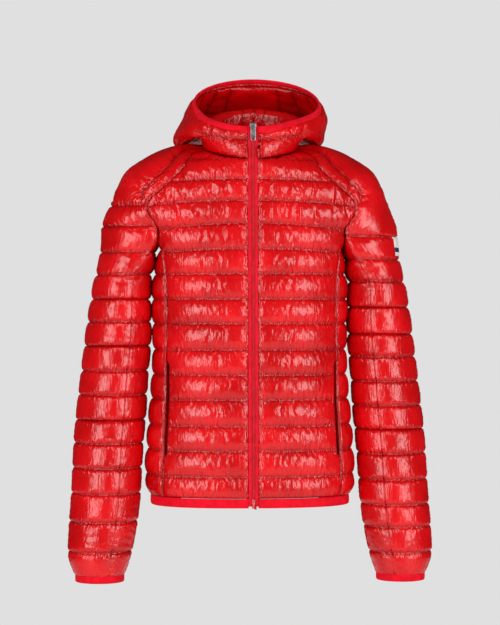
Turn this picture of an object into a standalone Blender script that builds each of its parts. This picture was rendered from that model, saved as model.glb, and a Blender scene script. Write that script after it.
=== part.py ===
"""Quilted ski jacket with hood: a standalone Blender 4.5 model.

Lengths are in millimetres in the tables and in metres once they reach a mesh.
X runs to the wearer's left, -Y is the front, +Z is up.
The origin is the inside of the back neck, where the hanger loop sits.
"""
import math

import bmesh
import bpy
from mathutils import Matrix, Vector

MM = 0.001

# Driving dimensions, in millimetres
NECK_HALF_WIDTH = 82.0
NECK_DEPTH = 95.5
NECK_CENTRE_Y = -7.5
NECK_DROP = 41.0
CHEST_Z = -170.0
SHOULDER_HALF_WIDTH = 277.0
SHOULDER_BACK = 112.0
HEM_Z = -662.0
HEM_LEVEL = 1.9647
BINDING_Z = -679.0
ZIP_TOP_Z = 20.0
ZIP_BOTTOM_Z = -680.0
ZIP_TOP_Y = -100.0
ZIP_LEAN = 24.0
SEAM_GAP = 0.35
ZIP_EDGE = 7.8
FRONT_COLUMNS = 11
MIDDLE_COLUMNS = 9
BACK_COLUMNS = 9
SHELL_OUT = 3.0
SHELL_IN = 7.0
HOOD_OUT = 2.0
HOOD_IN = 3.6
POCKET_MOUTH = 10.2
POCKET_DEPTH = 10.6
LOOP_Y = 58.0
POCKET_TOP_Z = -408.0
POCKET_BOTTOM_Z = -592.0
SHOULDER_PIVOT = (205.0, 5.0, -110.0)
ARMHOLE_BOTTOM_Z = -216.0
ELBOW_PIVOT_Z = -450.0
ELBOW_HALF_GAP = 56.0

# Half width of the body against height
BODY_WIDTH = [(-680, 182), (-655, 189), (-640, 194), (-586, 188), (-540, 183), (-485, 175),
              (-383, 171), (-300, 174), (-170, 172), (-40, 168)]
# Depth of the back against height
BODY_BACK = [(-680, 112), (-650, 114), (-600, 112), (-500, 106), (-400, 102), (-300, 108),
             (-170, 112), (-100, 112), (-50, 104), (-10, 90)]
# Shoulder slope: part of the way, outward part, downward part
SLOPE = [(0, (0, 0)), (0.125, (0.174, 0.013)), (0.303, (0.41, 0.103)), (0.457, (0.60, 0.226)),
         (0.58, (0.744, 0.342)), (0.70, (0.836, 0.523)), (0.815, (0.903, 0.703)),
         (0.94, (0.979, 0.903)), (1, (1, 1))]
# Raglan seams: part of the slope, angle from the front
FRONT_RAGLAN = [(0, 71.0), (0.1, 66.5), (0.2, 57.0), (0.365, 45.0), (0.58, 41.8), (0.67, 45.0),
                (0.76, 49.0), (0.85, 47.5), (1, 41.8)]
BACK_RAGLAN = [(0, 115.0), (0.1, 117.0), (0.2, 122.0), (0.365, 132.0), (0.58, 138.0),
               (0.67, 136.0), (0.76, 132.5), (0.85, 133.5), (1, 138.2)]
# Sleeve: height, (centre x, centre y, half width, half depth)
SLEEVE = [(-812, (281, -31, 42, 43)), (-808, (281.5, -31, 43, 44)), (-775, (283, -30, 53, 49)),
          (-725, (277.5, -26, 57.5, 54)), (-670, (272, -20, 59.5, 58)), (-623, (269, -14, 60.5, 60)),
          (-559, (265, -6, 61.5, 62)), (-503, (260.5, 0, 61, 63)), (-448, (256, 4, 59.5, 65)),
          (-392, (249.5, 5, 59, 66)), (-337, (244, 5, 57.5, 68)), (-281, (240.5, 5, 52, 69)),
          (-207, (235, 4, 47, 66)), (-172, (231, 3, 45.5, 62))]
# Hood: for each angle from the front, the points from collar fold to rear bulge
HOOD = [(0, ((0, -102.2, -30), (0, -101.4, -20), (0, -100.4, -8), (0, -99.2, 5))),
        (45, ((67, -78, -17), (76, -80, -4), (86, -81, 7), (93, -79, 20))),
        (90, ((93, -6, 22), (112, -2, 4), (129, 3, -9), (141, 4, 24))),
        (135, ((60, 50, 50), (88, 80, 14), (114, 108, -12), (134, 124, 32))),
        (180, ((0, 74, 61), (0, 115, 20), (0, 158, -17), (0, 190, 38)))]
# The same with its neighbours on the other side, so that it crosses the middle smoothly
HOOD_ROUND = ([(-HOOD[1][0], tuple((-x, y, z) for x, y, z in HOOD[1][1]))] + HOOD
              + [(360 - HOOD[3][0], tuple((-x, y, z) for x, y, z in HOOD[3][1]))])
RING_HALF_WIDTH = 122.0
RING_FRONT = (-98.0, 17.0)
RING_BACK = (84.0, 110.0)

COLOURS = {
    "shell": ((0.52, 0.010, 0.018), 0.28, 0.0),
    "lining": ((0.40, 0.010, 0.016), 0.35, 0.0),
    "binding": ((0.36, 0.012, 0.018), 0.75, 0.0),
    "tape": ((0.42, 0.012, 0.018), 0.65, 0.0),
    "coil": ((0.45, 0.014, 0.020), 0.40, 0.0),
    "metal": ((0.42, 0.42, 0.44), 0.30, 1.0),
    "lacquer": ((0.48, 0.012, 0.018), 0.30, 0.3),
    "patch": ((0.80, 0.79, 0.76), 0.60, 0.0),
    "loop": ((0.10, 0.10, 0.11), 0.70, 0.0),
}


def clear_scene():
    for item in list(bpy.data.objects):
        bpy.data.objects.remove(item, do_unlink=True)


def spline(table, t):
    """Cubic interpolation of a table of (position, value or tuple), in rising order."""
    keys = [row[0] for row in table]
    values = [row[1] if isinstance(row[1], tuple) else (row[1],) for row in table]
    t = min(max(t, keys[0]), keys[-1])
    i = max(k for k in range(len(keys) - 1) if keys[k] <= t)
    span = keys[i + 1] - keys[i]
    u = (t - keys[i]) / span

    def slope(k, c):
        low, high = max(k - 1, 0), min(k + 1, len(keys) - 1)
        return (values[high][c] - values[low][c]) / (keys[high] - keys[low])

    out = []
    for c in range(len(values[0])):
        a, b = values[i][c], values[i + 1][c]
        m0, m1 = slope(i, c) * span, slope(i + 1, c) * span
        out.append((2 * u**3 - 3 * u**2 + 1) * a + (u**3 - 2 * u**2 + u) * m0
                   + (3 * u**2 - 2 * u**3) * b + (u**3 - u**2) * m1)
    return tuple(out) if isinstance(table[0][1], tuple) else out[0]


def smooth(t):
    t = min(max(t, 0.0), 1.0)
    return t * t * (3 - 2 * t)


def power(value, exponent):
    return math.copysign(abs(value) ** exponent, value)


def zip_y(z):
    """The front of the body, where the zip lies, at a height."""
    return ZIP_TOP_Y - ZIP_LEAN * (ZIP_TOP_Z - z) / (ZIP_TOP_Z - ZIP_BOTTOM_Z)


def neck(phi):
    a = math.radians(phi)
    return Vector((NECK_HALF_WIDTH * math.sin(a), NECK_CENTRE_Y - NECK_DEPTH * math.cos(a),
                   -NECK_DROP * ((1 + math.cos(a)) / 2) ** 1.3))


def body_point(phi, z, extra=0.0):
    """A point of the body below the arms, at an angle from the front and a height."""
    a = math.radians(phi)
    depth = -zip_y(z) if math.cos(a) > 0 else spline(BODY_BACK, z)
    return Vector(((spline(BODY_WIDTH, z) + extra) * power(math.sin(a), 0.8),
                   -(depth + extra) * power(math.cos(a), 0.8), z))


def yoke_point(phi, s):
    """A point of the shoulders: s runs from the neck seam (0) to chest height (1) and on down."""
    a = math.radians(phi)
    start = neck(phi)
    depth = -zip_y(CHEST_Z) if math.cos(a) > 0 else SHOULDER_BACK
    end = Vector((SHOULDER_HALF_WIDTH * math.sin(a), -depth * math.cos(a), CHEST_Z))
    out, down = spline(SLOPE, min(s, 1.0))
    return Vector((start.x + (end.x - start.x) * out, start.y + (end.y - start.y) * out,
                   start.z + (end.z - start.z) * down + row_drop(s)))


def row_drop(s):
    return min(0.0, (1.0 - s) * (CHEST_Z - ZIP_BOTTOM_Z))


def row_height(s):
    """Height of a row at the front: rows past 1 are below the chest."""
    if s >= 1.0:
        return CHEST_Z + row_drop(s)
    return -NECK_DROP + (CHEST_Z + NECK_DROP) * spline(SLOPE, s)[1]


def resample(points, count, start_gap=0.0):
    """Points at even steps along a polyline, the first pulled in from its end by the gap."""
    lengths = [0.0]
    for a, b in zip(points, points[1:]):
        lengths.append(lengths[-1] + (b - a).length)
    result = []
    for i in range(count):
        t = start_gap + (lengths[-1] - start_gap) * i / (count - 1)
        k = max(j for j in range(len(points) - 1) if lengths[j] <= t or j == 0)
        share = (t - lengths[k]) / max(lengths[k + 1] - lengths[k], 1e-9)
        result.append(points[k].lerp(points[k + 1], share))
    return result


def arc(point_at, start, end, steps=60):
    return [point_at(start + (end - start) * i / steps) for i in range(steps + 1)]


def side_angle(x, z):
    """Angle on the front of the body where its half width is x."""
    return math.degrees(math.asin(min(1.0, (x / spline(BODY_WIDTH, z)) ** 1.25)))


def front_seam_x(z):
    return spline([(-680, 164.0), (-577, 164.0), (-485, 159.5), (-420, 159.0), (-300, 157.5),
                   (-170, 160.0), (-40, 150.0)], z)


def back_seam_x(z):
    return spline([(-680, 150.0), (-485, 140.0), (-300, 140.0), (-170, 150.0), (-40, 150.0)], z)


def blended(yoke, body, s):
    """Shoulder row above the chest, body row below it, and a smooth change between them."""
    low = smooth((s - 0.80) / 0.42)
    return [a.lerp(b, low) for a, b in zip(yoke, body)]


def front_row(s):
    """One row of the left front, from the zip to the raglan or side seam."""
    z = row_height(s)
    edge = spline(FRONT_RAGLAN, min(s, 1.0))
    side = side_angle(front_seam_x(z), z)
    yoke = resample(arc(lambda a: yoke_point(a, s), 0, edge), FRONT_COLUMNS, ZIP_EDGE)
    body = resample(arc(lambda a: body_point(a, z), 0, side), FRONT_COLUMNS, ZIP_EDGE)
    return blended(yoke, body, s)


def back_row(s):
    """One row of the left half of the back, from its seam to the middle."""
    z = row_height(s)
    edge = spline(BACK_RAGLAN, min(s, 1.0))
    side = 180 - side_angle(back_seam_x(z), z)
    yoke = resample(arc(lambda a: yoke_point(a, s), edge, 180), BACK_COLUMNS)
    body = resample(arc(lambda a: body_point(a, z), side, 180), BACK_COLUMNS)
    return blended(yoke, body, s)


def middle_row(s, front, back):
    """One row between two seams: over the shoulder above the armhole, down the side below it."""
    if s < 1.0:
        ends = spline(FRONT_RAGLAN, s), spline(BACK_RAGLAN, s)
        return resample(arc(lambda a: yoke_point(a, s), *ends), MIDDLE_COLUMNS)
    z = row_height(s)
    low = smooth((s - 1.02) / 0.20)
    flat = resample([front, back], MIDDLE_COLUMNS)
    start = side_angle(front_seam_x(z), z)
    end = 180 - side_angle(back_seam_x(z), z)
    body = resample(arc(lambda a: body_point(a, z), start, end), MIDDLE_COLUMNS)
    row = [a.lerp(b, low) for a, b in zip(flat, body)]
    first, last = front - row[0], back - row[-1]
    return [p + first.lerp(last, i / (MIDDLE_COLUMNS - 1)) for i, p in enumerate(row)]


def all_round(half):
    """A row from the left front edge round the back to the right front edge."""
    return half + [Vector((-p.x, p.y, p.z)) for p in reversed(half[:-1])]


def jacket_row(s):
    front, back = front_row(s), back_row(s)
    return all_round(front + middle_row(s, front[-1], back[0])[1:-1] + back)


def hood_point(phi, s):
    """A point of the hood: s runs from the neck seam (0) to the face binding (1)."""
    turn = phi if phi <= 180 else 360 - phi
    base = neck(turn)
    middle = []
    for k in range(4):
        middle.append(Vector(spline([(row[0], row[1][k]) for row in HOOD_ROUND], turn)))
    share = (1 - math.cos(math.radians(turn))) / 2
    ring = Vector((RING_HALF_WIDTH * math.sin(math.radians(turn)),
                   RING_FRONT[0] + (RING_BACK[0] - RING_FRONT[0]) * share,
                   RING_FRONT[1] + (RING_BACK[1] - RING_FRONT[1]) * share))
    line = [base] + middle + [ring]
    keys = [0.0, 0.2, 0.4, 0.58, 0.78, 1.0]
    point = Vector(spline([(k, tuple(v)) for k, v in zip(keys, line)], s))
    if phi > 180:
        point.x = -point.x
    return point


def collection(name):
    made = bpy.data.collections.new(name)
    bpy.context.scene.collection.children.link(made)
    return made


def material(name, look):
    colour, roughness, metallic = COLOURS[look]
    made = bpy.data.materials.new(name)
    made.use_nodes = True
    shader = made.node_tree.nodes["Principled BSDF"]
    shader.inputs["Base Color"].default_value = (*colour, 1.0)
    shader.inputs["Roughness"].default_value = roughness
    shader.inputs["Metallic"].default_value = metallic
    return made


def add_object(name, mesh, look, parent=None):
    """Link a named object with its own material; a parent is given with its location."""
    item = bpy.data.objects.new(name, mesh)
    mesh.materials.append(material(name, look))
    GARMENT.objects.link(item)
    item.parent = parent if parent is not None else ROOT
    return item


def empty(name, location, rotation=(0, 0, 0), parent=None):
    item = bpy.data.objects.new(name, None)
    item.empty_display_size = 0.02
    item.location = [v * MM for v in location]
    item.rotation_euler = rotation
    item.parent = parent
    GARMENT.objects.link(item)
    return item


def face_out(mesh):
    work = bmesh.new()
    work.from_mesh(mesh)
    bmesh.ops.recalc_face_normals(work, faces=work.faces)
    work.to_mesh(mesh)
    work.free()


def mesh_from(name, points, faces):
    mesh = bpy.data.meshes.new(name)
    mesh.from_pydata([tuple(p * MM) for p in points], [], faces)
    mesh.update()
    face_out(mesh)
    return mesh


def grid_normals(grid, closed=False):
    rows, cols = len(grid), len(grid[0])
    normals = []
    for i in range(rows):
        line = []
        for j in range(cols):
            up, down = grid[max(i - 1, 0)][j], grid[min(i + 1, rows - 1)][j]
            if closed:
                left, right = grid[i][(j - 1) % cols], grid[i][(j + 1) % cols]
            else:
                left, right = grid[i][max(j - 1, 0)], grid[i][min(j + 1, cols - 1)]
            line.append((right - left).cross(up - down).normalized())
        normals.append(line)
    return normals


def panel(name, grid, normals, rows, cols, outer, inner, look, gap=SEAM_GAP, mouth=None):
    """A slab from part of a grid, its side seams pulled in by a gap, or by a wider pocket mouth."""
    piece = [[p.copy() for p in row[cols[0]:cols[1] + 1]] for row in grid[rows[0]:rows[1] + 1]]
    ways = [row[cols[0]:cols[1] + 1] for row in normals[rows[0]:rows[1] + 1]]
    for row in piece:
        for end, beside in ((0, 1), (-1, -2)):
            pull = gap
            if mouth == end and POCKET_BOTTOM_Z < row[end].z < POCKET_TOP_Z:
                pull = POCKET_MOUTH
            row[end] += (row[beside] - row[end]).normalized() * pull
    return slab(name, piece, outer, inner, look, normals=ways)


def slab(name, grid, outer, inner, look, closed=False, origin=None, normals=None):
    """A loft of unlike rows, given thickness from outer to inner; rows go down, columns +phi."""
    rows, cols = len(grid), len(grid[0])
    normals = normals or grid_normals(grid, closed)
    centre = Vector(origin) if origin else Vector((0, 0, 0))
    points = []
    for offset in (outer, -inner):
        for row, line in zip(grid, normals):
            points += [p + n * offset - centre for p, n in zip(row, line)]
    layer = rows * cols

    def at(side, i, j):
        return side * layer + i * cols + j % cols

    faces = []
    last = cols if closed else cols - 1
    for i in range(rows - 1):
        for j in range(last):
            for k in (0, 1):
                faces.append((at(k, i, j), at(k, i + 1, j), at(k, i + 1, j + 1), at(k, i, j + 1)))
    for i in (0, rows - 1):
        for j in range(last):
            faces.append((at(0, i, j), at(0, i, j + 1), at(1, i, j + 1), at(1, i, j)))
    if not closed:
        for j in (0, cols - 1):
            for i in range(rows - 1):
                faces.append((at(0, i, j), at(0, i + 1, j), at(1, i + 1, j), at(1, i, j)))
    item = add_object(name, mesh_from(name, points, faces), look)
    item.location = centre * MM
    return item


def box(name, low, high, look, parent=None, bevel=0.0):
    """A box from its two corners, in its parent's frame."""
    item = add_object(name, cube_mesh(name, low, high), look, parent)
    if bevel:
        edge = item.modifiers.new("edge", "BEVEL")
        edge.width = bevel * MM
        edge.segments = 2
    return item


def prism(name, outline, low, high, axis, look, parent=None):
    """A closed outline pushed along an axis, from low to high."""
    order = {"x": (1, 2, 0), "y": (0, 2, 1), "z": (0, 1, 2)}[axis]
    points = []
    for level in (low, high):
        for a, b in outline:
            spot = [0.0, 0.0, 0.0]
            spot[order[0]], spot[order[1]], spot[order[2]] = a, b, level
            points.append(Vector(spot))
    n = len(outline)
    faces = [tuple(range(n)), tuple(range(2 * n - 1, n - 1, -1))]
    faces += [(i, (i + 1) % n, n + (i + 1) % n, n + i) for i in range(n)]
    return add_object(name, mesh_from(name, points, faces), look, parent)


def build_body():
    """Shell panels, both linings and the pocket bags, all cut from one grid."""
    levels = [0.045, 0.12, 0.22, 0.34, 0.46, 0.58, 0.70, 0.80, 0.90, 0.985, 1.07, 1.14, 1.22]
    top_side = levels.index(1.07)
    levels += [1.22 + (HEM_LEVEL - 1.22) * i / 9 for i in range(1, 10)]
    grid = [jacket_row(s) for s in levels]
    normals = grid_normals(grid)
    parted = grid_normals(grid[:top_side]) + grid_normals(grid[top_side:])
    a, b = FRONT_COLUMNS - 1, FRONT_COLUMNS + MIDDLE_COLUMNS - 2
    end = len(grid[0]) - 1
    bottom = len(grid) - 1
    for i, row in enumerate(normals):
        for j in list(range(a + 1, b)) + list(range(end - b + 1, end - a)):
            row[j] = parted[i][j]
    outer, inner = SHELL_OUT, SHELL_IN
    panel("front_panel_left", grid, normals, (0, bottom), (0, a), outer, inner, "shell", mouth=-1)
    panel("front_panel_right", grid, normals, (0, bottom), (end - a, end), outer, inner, "shell",
          mouth=0)
    panel("back_panel", grid, normals, (0, bottom), (b, end - b), outer, inner, "shell")
    for word, cols in (("left", (a, b)), ("right", (end - b, end - a))):
        panel("sleeve_head_" + word, grid, normals, (0, top_side - 1), cols, outer, inner, "shell")
        panel("side_panel_" + word, grid, normals, (top_side, bottom), cols, outer, inner, "shell")
    panel("yoke_lining", grid, normals, (1, top_side - 1), (0, end), -8.0, 9.2, "lining", gap=0.0)
    panel("body_lining", grid, normals, (top_side, bottom), (0, end), -14.0, 15.2, "lining",
          gap=0.0)
    pocket = [i for i, s in enumerate(levels) if -640 < row_height(s) < -395]
    rows = (pocket[0], pocket[-1])
    panel("pocket_bag_left", grid, normals, rows, (3, a - 2), -8.5, 12.0, "lining")
    panel("pocket_bag_right", grid, normals, rows, (end - a + 2, end - 3), -8.5, 12.0, "lining")


def build_hem():
    rows = []
    for z in (HEM_Z - 1.5, (HEM_Z + BINDING_Z) / 2, BINDING_Z):
        line = arc(lambda a: body_point(a, z), 0, 180)
        rows.append(all_round(resample(line, 17, ZIP_EDGE + 1.2)))
    slab("hem_binding", rows, 1.5, 3.5, "binding")


def hood_row(s, edge):
    side = resample(arc(lambda a: hood_point(a, s), 0, 150), 15, edge)
    middle = resample(arc(lambda a: hood_point(a, s), 150, 180), 4)
    return all_round(side + middle[1:])


def build_hood():
    """Two hood sides, the middle panel, the lining and the face binding."""
    steps = [0.955, 0.85, 0.75, 0.66, 0.58, 0.5, 0.42, 0.32, 0.24, 0.17, 0.1, 0.022]
    grid = [hood_row(s, ZIP_EDGE) for s in steps]
    normals = grid_normals(grid)
    last, end = len(steps) - 1, len(grid[0]) - 1
    outer, inner = HOOD_OUT, HOOD_IN
    panel("hood_side_left", grid, normals, (0, last), (0, 14), outer, inner, "shell")
    panel("hood_side_right", grid, normals, (0, last), (end - 14, end), outer, inner, "shell")
    panel("hood_centre", grid, normals, (0, last), (14, end - 14), outer, inner, "shell")
    panel("hood_lining", grid, normals, (0, last - 1), (0, end), -HOOD_IN - 0.7, HOOD_IN + 1.9,
          "lining")
    rows = [hood_row(s, ZIP_EDGE + 0.8) for s in (1.0, 0.985, 0.97)]
    slab("hood_binding", rows, 1.2, 3.6, "binding")


def sleeve_ring(z, count, side, grow=0.0):
    cx, cy, hx, hy = spline(SLEEVE, z)
    ring = []
    for i in range(count):
        a = 2 * math.pi * i / count
        ring.append(Vector((side * cx + (hx + grow) * math.sin(a), cy - (hy + grow) * math.cos(a),
                            z)))
    return ring


def build_sleeve(word, side):
    """Armhole section, upper sleeve, elbow and forearm, their linings and the cuff binding."""
    pivot = (side * SHOULDER_PIVOT[0], SHOULDER_PIVOT[1], SHOULDER_PIVOT[2])
    elbow = (side * 256.0, 5.0, ELBOW_PIVOT_Z)
    top, bottom = ARMHOLE_BOTTOM_Z, ELBOW_PIVOT_Z + ELBOW_HALF_GAP
    low_top = ELBOW_PIVOT_Z - ELBOW_HALF_GAP
    parts = [("armhole_", CHEST_Z - 3, top + 0.6, 3, pivot, SHELL_OUT, 6.0, "shell"),
             ("upper_sleeve_", top, bottom, 6, pivot, SHELL_OUT, 6.0, "shell"),
             ("upper_sleeve_lining_", top - 3, bottom + 2, 5, pivot, -7.0, 8.2, "lining"),
             ("elbow_", bottom - 0.6, low_top + 0.6, 4, elbow, SHELL_OUT, 6.0, "shell"),
             ("forearm_", low_top, -805.0, 9, elbow, SHELL_OUT, 6.0, "shell"),
             ("forearm_lining_", low_top - 2, -802.0, 6, elbow, -7.0, 8.2, "lining"),
             ("cuff_binding_", -806.5, -821.0, 3, elbow, 1.0, 2.8, "binding")]
    for name, high, low, count, origin, outer, inner, look in parts:
        rings = []
        for i in range(count):
            rings.append(sleeve_ring(high + (low - high) * i / (count - 1), 20, side))
        slab(name + word, rings, outer, inner, look, closed=True, origin=origin)


def build_patch():
    """Blank patch on the outside of the left upper sleeve, just clear of the shell."""
    pivot = SHOULDER_PIVOT
    rows = []
    for z in (-181.5, -200.0, -218.0):
        cx, cy, hx, hy = spline(SLEEVE, z)
        row = []
        for degrees in (52, 60, 68, 76, 84):
            a = math.radians(degrees)
            row.append(Vector((cx + hx * math.sin(a), cy - hy * math.cos(a), z)))
        rows.append(row)
    slab("sleeve_patch", rows, 4.7, -3.5, "patch", origin=pivot)


def build_zip():
    """Main zip in a frame that leans with the front: local z up the zip, local -y outward."""
    lean = -math.atan2(ZIP_LEAN, ZIP_TOP_Z - ZIP_BOTTOM_Z)
    place = (0, ZIP_TOP_Y, ZIP_TOP_Z)
    frame = empty("zip_frame", place, (lean, 0, 0), ROOT)
    length = math.hypot(ZIP_LEAN, ZIP_TOP_Z - ZIP_BOTTOM_Z)
    for word, side in (("left", 1), ("right", -1)):
        def span(a, b):
            return (min(side * a, side * b), max(side * a, side * b))
        x0, x1 = span(1.2, 7.3)
        box("zip_tape_" + word, (x0, -1.0, -length + 1), (x1, 0.2, 7.0), "tape", frame)
        x0, x1 = span(0.25, 3.0)
        box("zip_chain_" + word, (x0, -3.7, -length + 9), (x1, -1.3, -6.6), "coil", frame)
        x0, x1 = span(3.3, 5.6)
        box("top_stop_" + word, (x0, -3.4, 5.4), (x1, -1.3, 6.9), "coil", frame, bevel=0.2)
    box("insertion_pin", (-3.0, -3.7, -length + 0.5), (-0.25, -1.3, -length + 8.6), "lacquer",
        frame, bevel=0.3)
    box("retainer_box", (0.25, -4.3, -length - 1.0), (5.2, -1.3, -length + 8.6), "lacquer",
        frame, bevel=0.4)
    box("storm_flap", (-12, 9.3, -length + 14), (12, 10.6, -6), "lining", frame, bevel=0.3)
    slide = empty("slider_axis", place, (lean, 0, 0), ROOT)
    body = prism("zip_slider", [(-5.9, -1.35), (-5.9, -6.2), (5.9, -6.2), (5.9, -1.35), (4.4, -1.35),
                                (4.4, -4.1), (-4.4, -4.1), (-4.4, -1.35)],
                 -4.6, 5.0, "z", "metal", slide)
    raise_lugs(body, 4.7, 5.85, -8.9, -5.0, 0.3, 3.0)
    hinge = empty("pull_axis", (0, -8.1, 1.5), (0, 0, 0), slide)
    pull = prism("zip_pull", rounded(8.8, -31.0, 1.6, 1.6), -0.8, 0.8, "y", "metal", hinge)
    combine(pull, "pull_slot", (-2.8, -2, -29.2), (2.8, 2, -26.6), "DIFFERENCE")
    combine(pull, "pull_eye", (-1.2, -2, -10.6), (1.2, 2, -8.2), "DIFFERENCE")


def cube_mesh(name, low, high):
    work = bmesh.new()
    bmesh.ops.create_cube(work, size=1.0)
    size = [(b - a) * MM for a, b in zip(low, high)]
    middle = [(a + b) / 2 * MM for a, b in zip(low, high)]
    bmesh.ops.scale(work, vec=size, verts=work.verts)
    bmesh.ops.translate(work, vec=middle, verts=work.verts)
    mesh = bpy.data.meshes.new(name)
    work.to_mesh(mesh)
    work.free()
    return mesh


def combine(target, name, low, high, operation):
    """Join a box to an object, or take it out."""
    tool = bpy.data.objects.new(name, cube_mesh(name, low, high))
    CUTTERS.objects.link(tool)
    tool.parent = target
    tool.hide_render = True
    tool.display_type = "WIRE"
    step = target.modifiers.new(name, "BOOLEAN")
    step.operation = operation
    step.solver = "EXACT"
    step.object = tool


def raise_lugs(body, inner, outer, low_y, high_y, low_z, high_z):
    """Two lugs that hold the pull, joined to a slider."""
    for side in (-1, 1):
        x0, x1 = sorted((side * inner, side * outer))
        combine(body, body.name + ("_lug_a" if side < 0 else "_lug_b"), (x0, low_y, low_z),
                (x1, high_y, high_z), "UNION")


def rounded(width, bottom, top, radius):
    """Outline of a tab with round corners, as (x, z) points."""
    half = width / 2
    outline = []
    for cx, cz, start in ((half - radius, top - radius, 0), (-half + radius, top - radius, 90),
                          (-half + radius, bottom + radius, 180),
                          (half - radius, bottom + radius, 270)):
        for k in range(4):
            a = math.radians(start + 30 * k)
            outline.append((cx + radius * math.cos(a), cz + radius * math.sin(a)))
    return outline


def pocket_frame(side):
    """Origin and turn of the pocket's frame: local z up the seam, local -y outward."""
    def seam(z):
        return body_point(side_angle(front_seam_x(z), z), z)

    top, bottom = seam(POCKET_TOP_Z), seam(POCKET_BOTTOM_Z)
    up = (top - bottom).normalized()
    z = (POCKET_TOP_Z + POCKET_BOTTOM_Z) / 2
    angle = side_angle(front_seam_x(z), z)
    across = (body_point(angle + 1, z) - body_point(angle - 1, z)).normalized()
    out = across.cross(up).normalized()
    across = up.cross(out).normalized()
    turn = Matrix((across, -out, up)).transposed()
    place = top.copy()
    if side < 0:
        place.x = -place.x
        flip = Matrix(((-1, 0, 0), (0, 1, 0), (0, 0, 1)))
        turn = flip @ turn @ flip
    return place, turn, (top - bottom).length


def build_pocket(word, side):
    """Zip strip, slider, pull and bag of one pocket."""
    place, turn, length = pocket_frame(side)
    angles = tuple(turn.to_euler())
    frame = empty("pocket_frame_" + word, place, angles, ROOT)
    shift = -side * 4.6
    prism("pocket_zip_" + word,
          [(shift + x, POCKET_DEPTH + y)
           for x, y in ((-6, 2.7), (6, 2.7), (6, 1.8), (2.4, 1.8), (2.4, 0), (-2.4, 0), (-2.4, 1.8),
                        (-6, 1.8))],
          -length - 8, 8, "z", "tape", frame)
    slide = empty("pocket_slider_axis_" + word, place, angles, ROOT)
    body = prism("pocket_slider_" + word,
          [(shift + x, POCKET_DEPTH + y)
           for x, y in ((-3.8, 1.4), (-3.8, -1.8), (3.8, -1.8), (3.8, 1.4), (2.8, 1.4), (2.8, -0.4),
                        (-2.8, -0.4), (-2.8, 1.4))],
          -11.0, -2.5, "z", "lacquer", slide)
    for low, high in ((-3.7, -2.9), (2.9, 3.7)):
        combine(body, body.name + ("_lug_a" if low < 0 else "_lug_b"),
                (shift + low, POCKET_DEPTH - 4.0, -5.8), (shift + high, POCKET_DEPTH - 1.2, -3.6),
                "UNION")
    hinge = empty("pocket_pull_axis_" + word, (shift, POCKET_DEPTH - 3.1, -4.6), (0, 0, 0), slide)
    prism("pocket_pull_" + word, rounded(5.0, -17.0, 1.0, 1.0), -0.6, 0.6, "y", "lacquer", hinge)


def build_neck():
    """Tape inside the back neck and the hanger loop that stands on it."""
    rows = []
    for drop in (2.0, -6.0, -14.0):
        row = []
        for i in range(13):
            p = neck(112 + 136 * i / 12)
            row.append(Vector((p.x * 0.865, NECK_CENTRE_Y + (p.y - NECK_CENTRE_Y) * 0.865,
                               p.z + drop)))
        rows.append(row)
    slab("neck_tape", rows, 0.6, 0.6, "loop")
    path = [(-34, 0), (-33.6, -5), (-31, -9.5), (-26, -12.5), (-18, -14), (0, -14.6), (18, -14),
            (26, -12.5), (31, -9.5), (33.6, -5), (34, 0)]
    curve = bpy.data.curves.new("hanger_loop", "CURVE")
    curve.dimensions = "3D"
    curve.bevel_depth = 1.6 * MM
    curve.bevel_resolution = 2
    curve.use_fill_caps = True
    line = curve.splines.new("POLY")
    line.points.add(len(path) - 1)
    for spot, (x, y) in zip(line.points, path):
        spot.co = (x * MM, (LOOP_Y + 5 + y) * MM, -3 * MM, 1.0)
    item = bpy.data.objects.new("hanger_loop", curve)
    curve.materials.append(material("hanger_loop", "loop"))
    item.parent = ROOT
    GARMENT.objects.link(item)


clear_scene()
GARMENT = collection("ski_jacket")
CUTTERS = collection("cutters")
ROOT = None
ROOT = empty("jacket_root", (0, -LOOP_Y, 0))
build_body()
build_hem()
build_hood()
build_neck()
build_zip()
build_patch()
for SIDE_NAME, SIDE in (("left", 1), ("right", -1)):
    build_sleeve(SIDE_NAME, SIDE)
    build_pocket(SIDE_NAME, SIDE)
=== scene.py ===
import math
import time

import bmesh
import bpy
import numpy as np
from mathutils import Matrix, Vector
from mathutils.bvhtree import BVHTree
from mathutils.kdtree import KDTree


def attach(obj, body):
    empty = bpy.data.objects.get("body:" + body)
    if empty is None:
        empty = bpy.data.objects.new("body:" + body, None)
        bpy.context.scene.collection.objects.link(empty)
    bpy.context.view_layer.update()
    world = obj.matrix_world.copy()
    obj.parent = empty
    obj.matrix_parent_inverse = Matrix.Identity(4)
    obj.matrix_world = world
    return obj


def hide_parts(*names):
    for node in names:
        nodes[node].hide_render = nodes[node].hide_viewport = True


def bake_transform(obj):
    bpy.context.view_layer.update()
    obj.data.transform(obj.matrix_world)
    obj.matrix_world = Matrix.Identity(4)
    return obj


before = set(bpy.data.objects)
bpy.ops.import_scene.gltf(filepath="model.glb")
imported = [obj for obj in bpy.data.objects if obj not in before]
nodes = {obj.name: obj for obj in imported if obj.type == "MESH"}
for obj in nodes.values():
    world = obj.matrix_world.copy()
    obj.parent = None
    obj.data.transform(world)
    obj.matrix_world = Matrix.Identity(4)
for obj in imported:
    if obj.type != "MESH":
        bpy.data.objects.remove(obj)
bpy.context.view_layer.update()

print("frame loaded")

# lengths here are millimetres in the pattern's own frame, 58 in front of the hanger loop
loopY = 58.0
chestZ = -170.0
sides = (("left", 1), ("right", -1))

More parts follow.
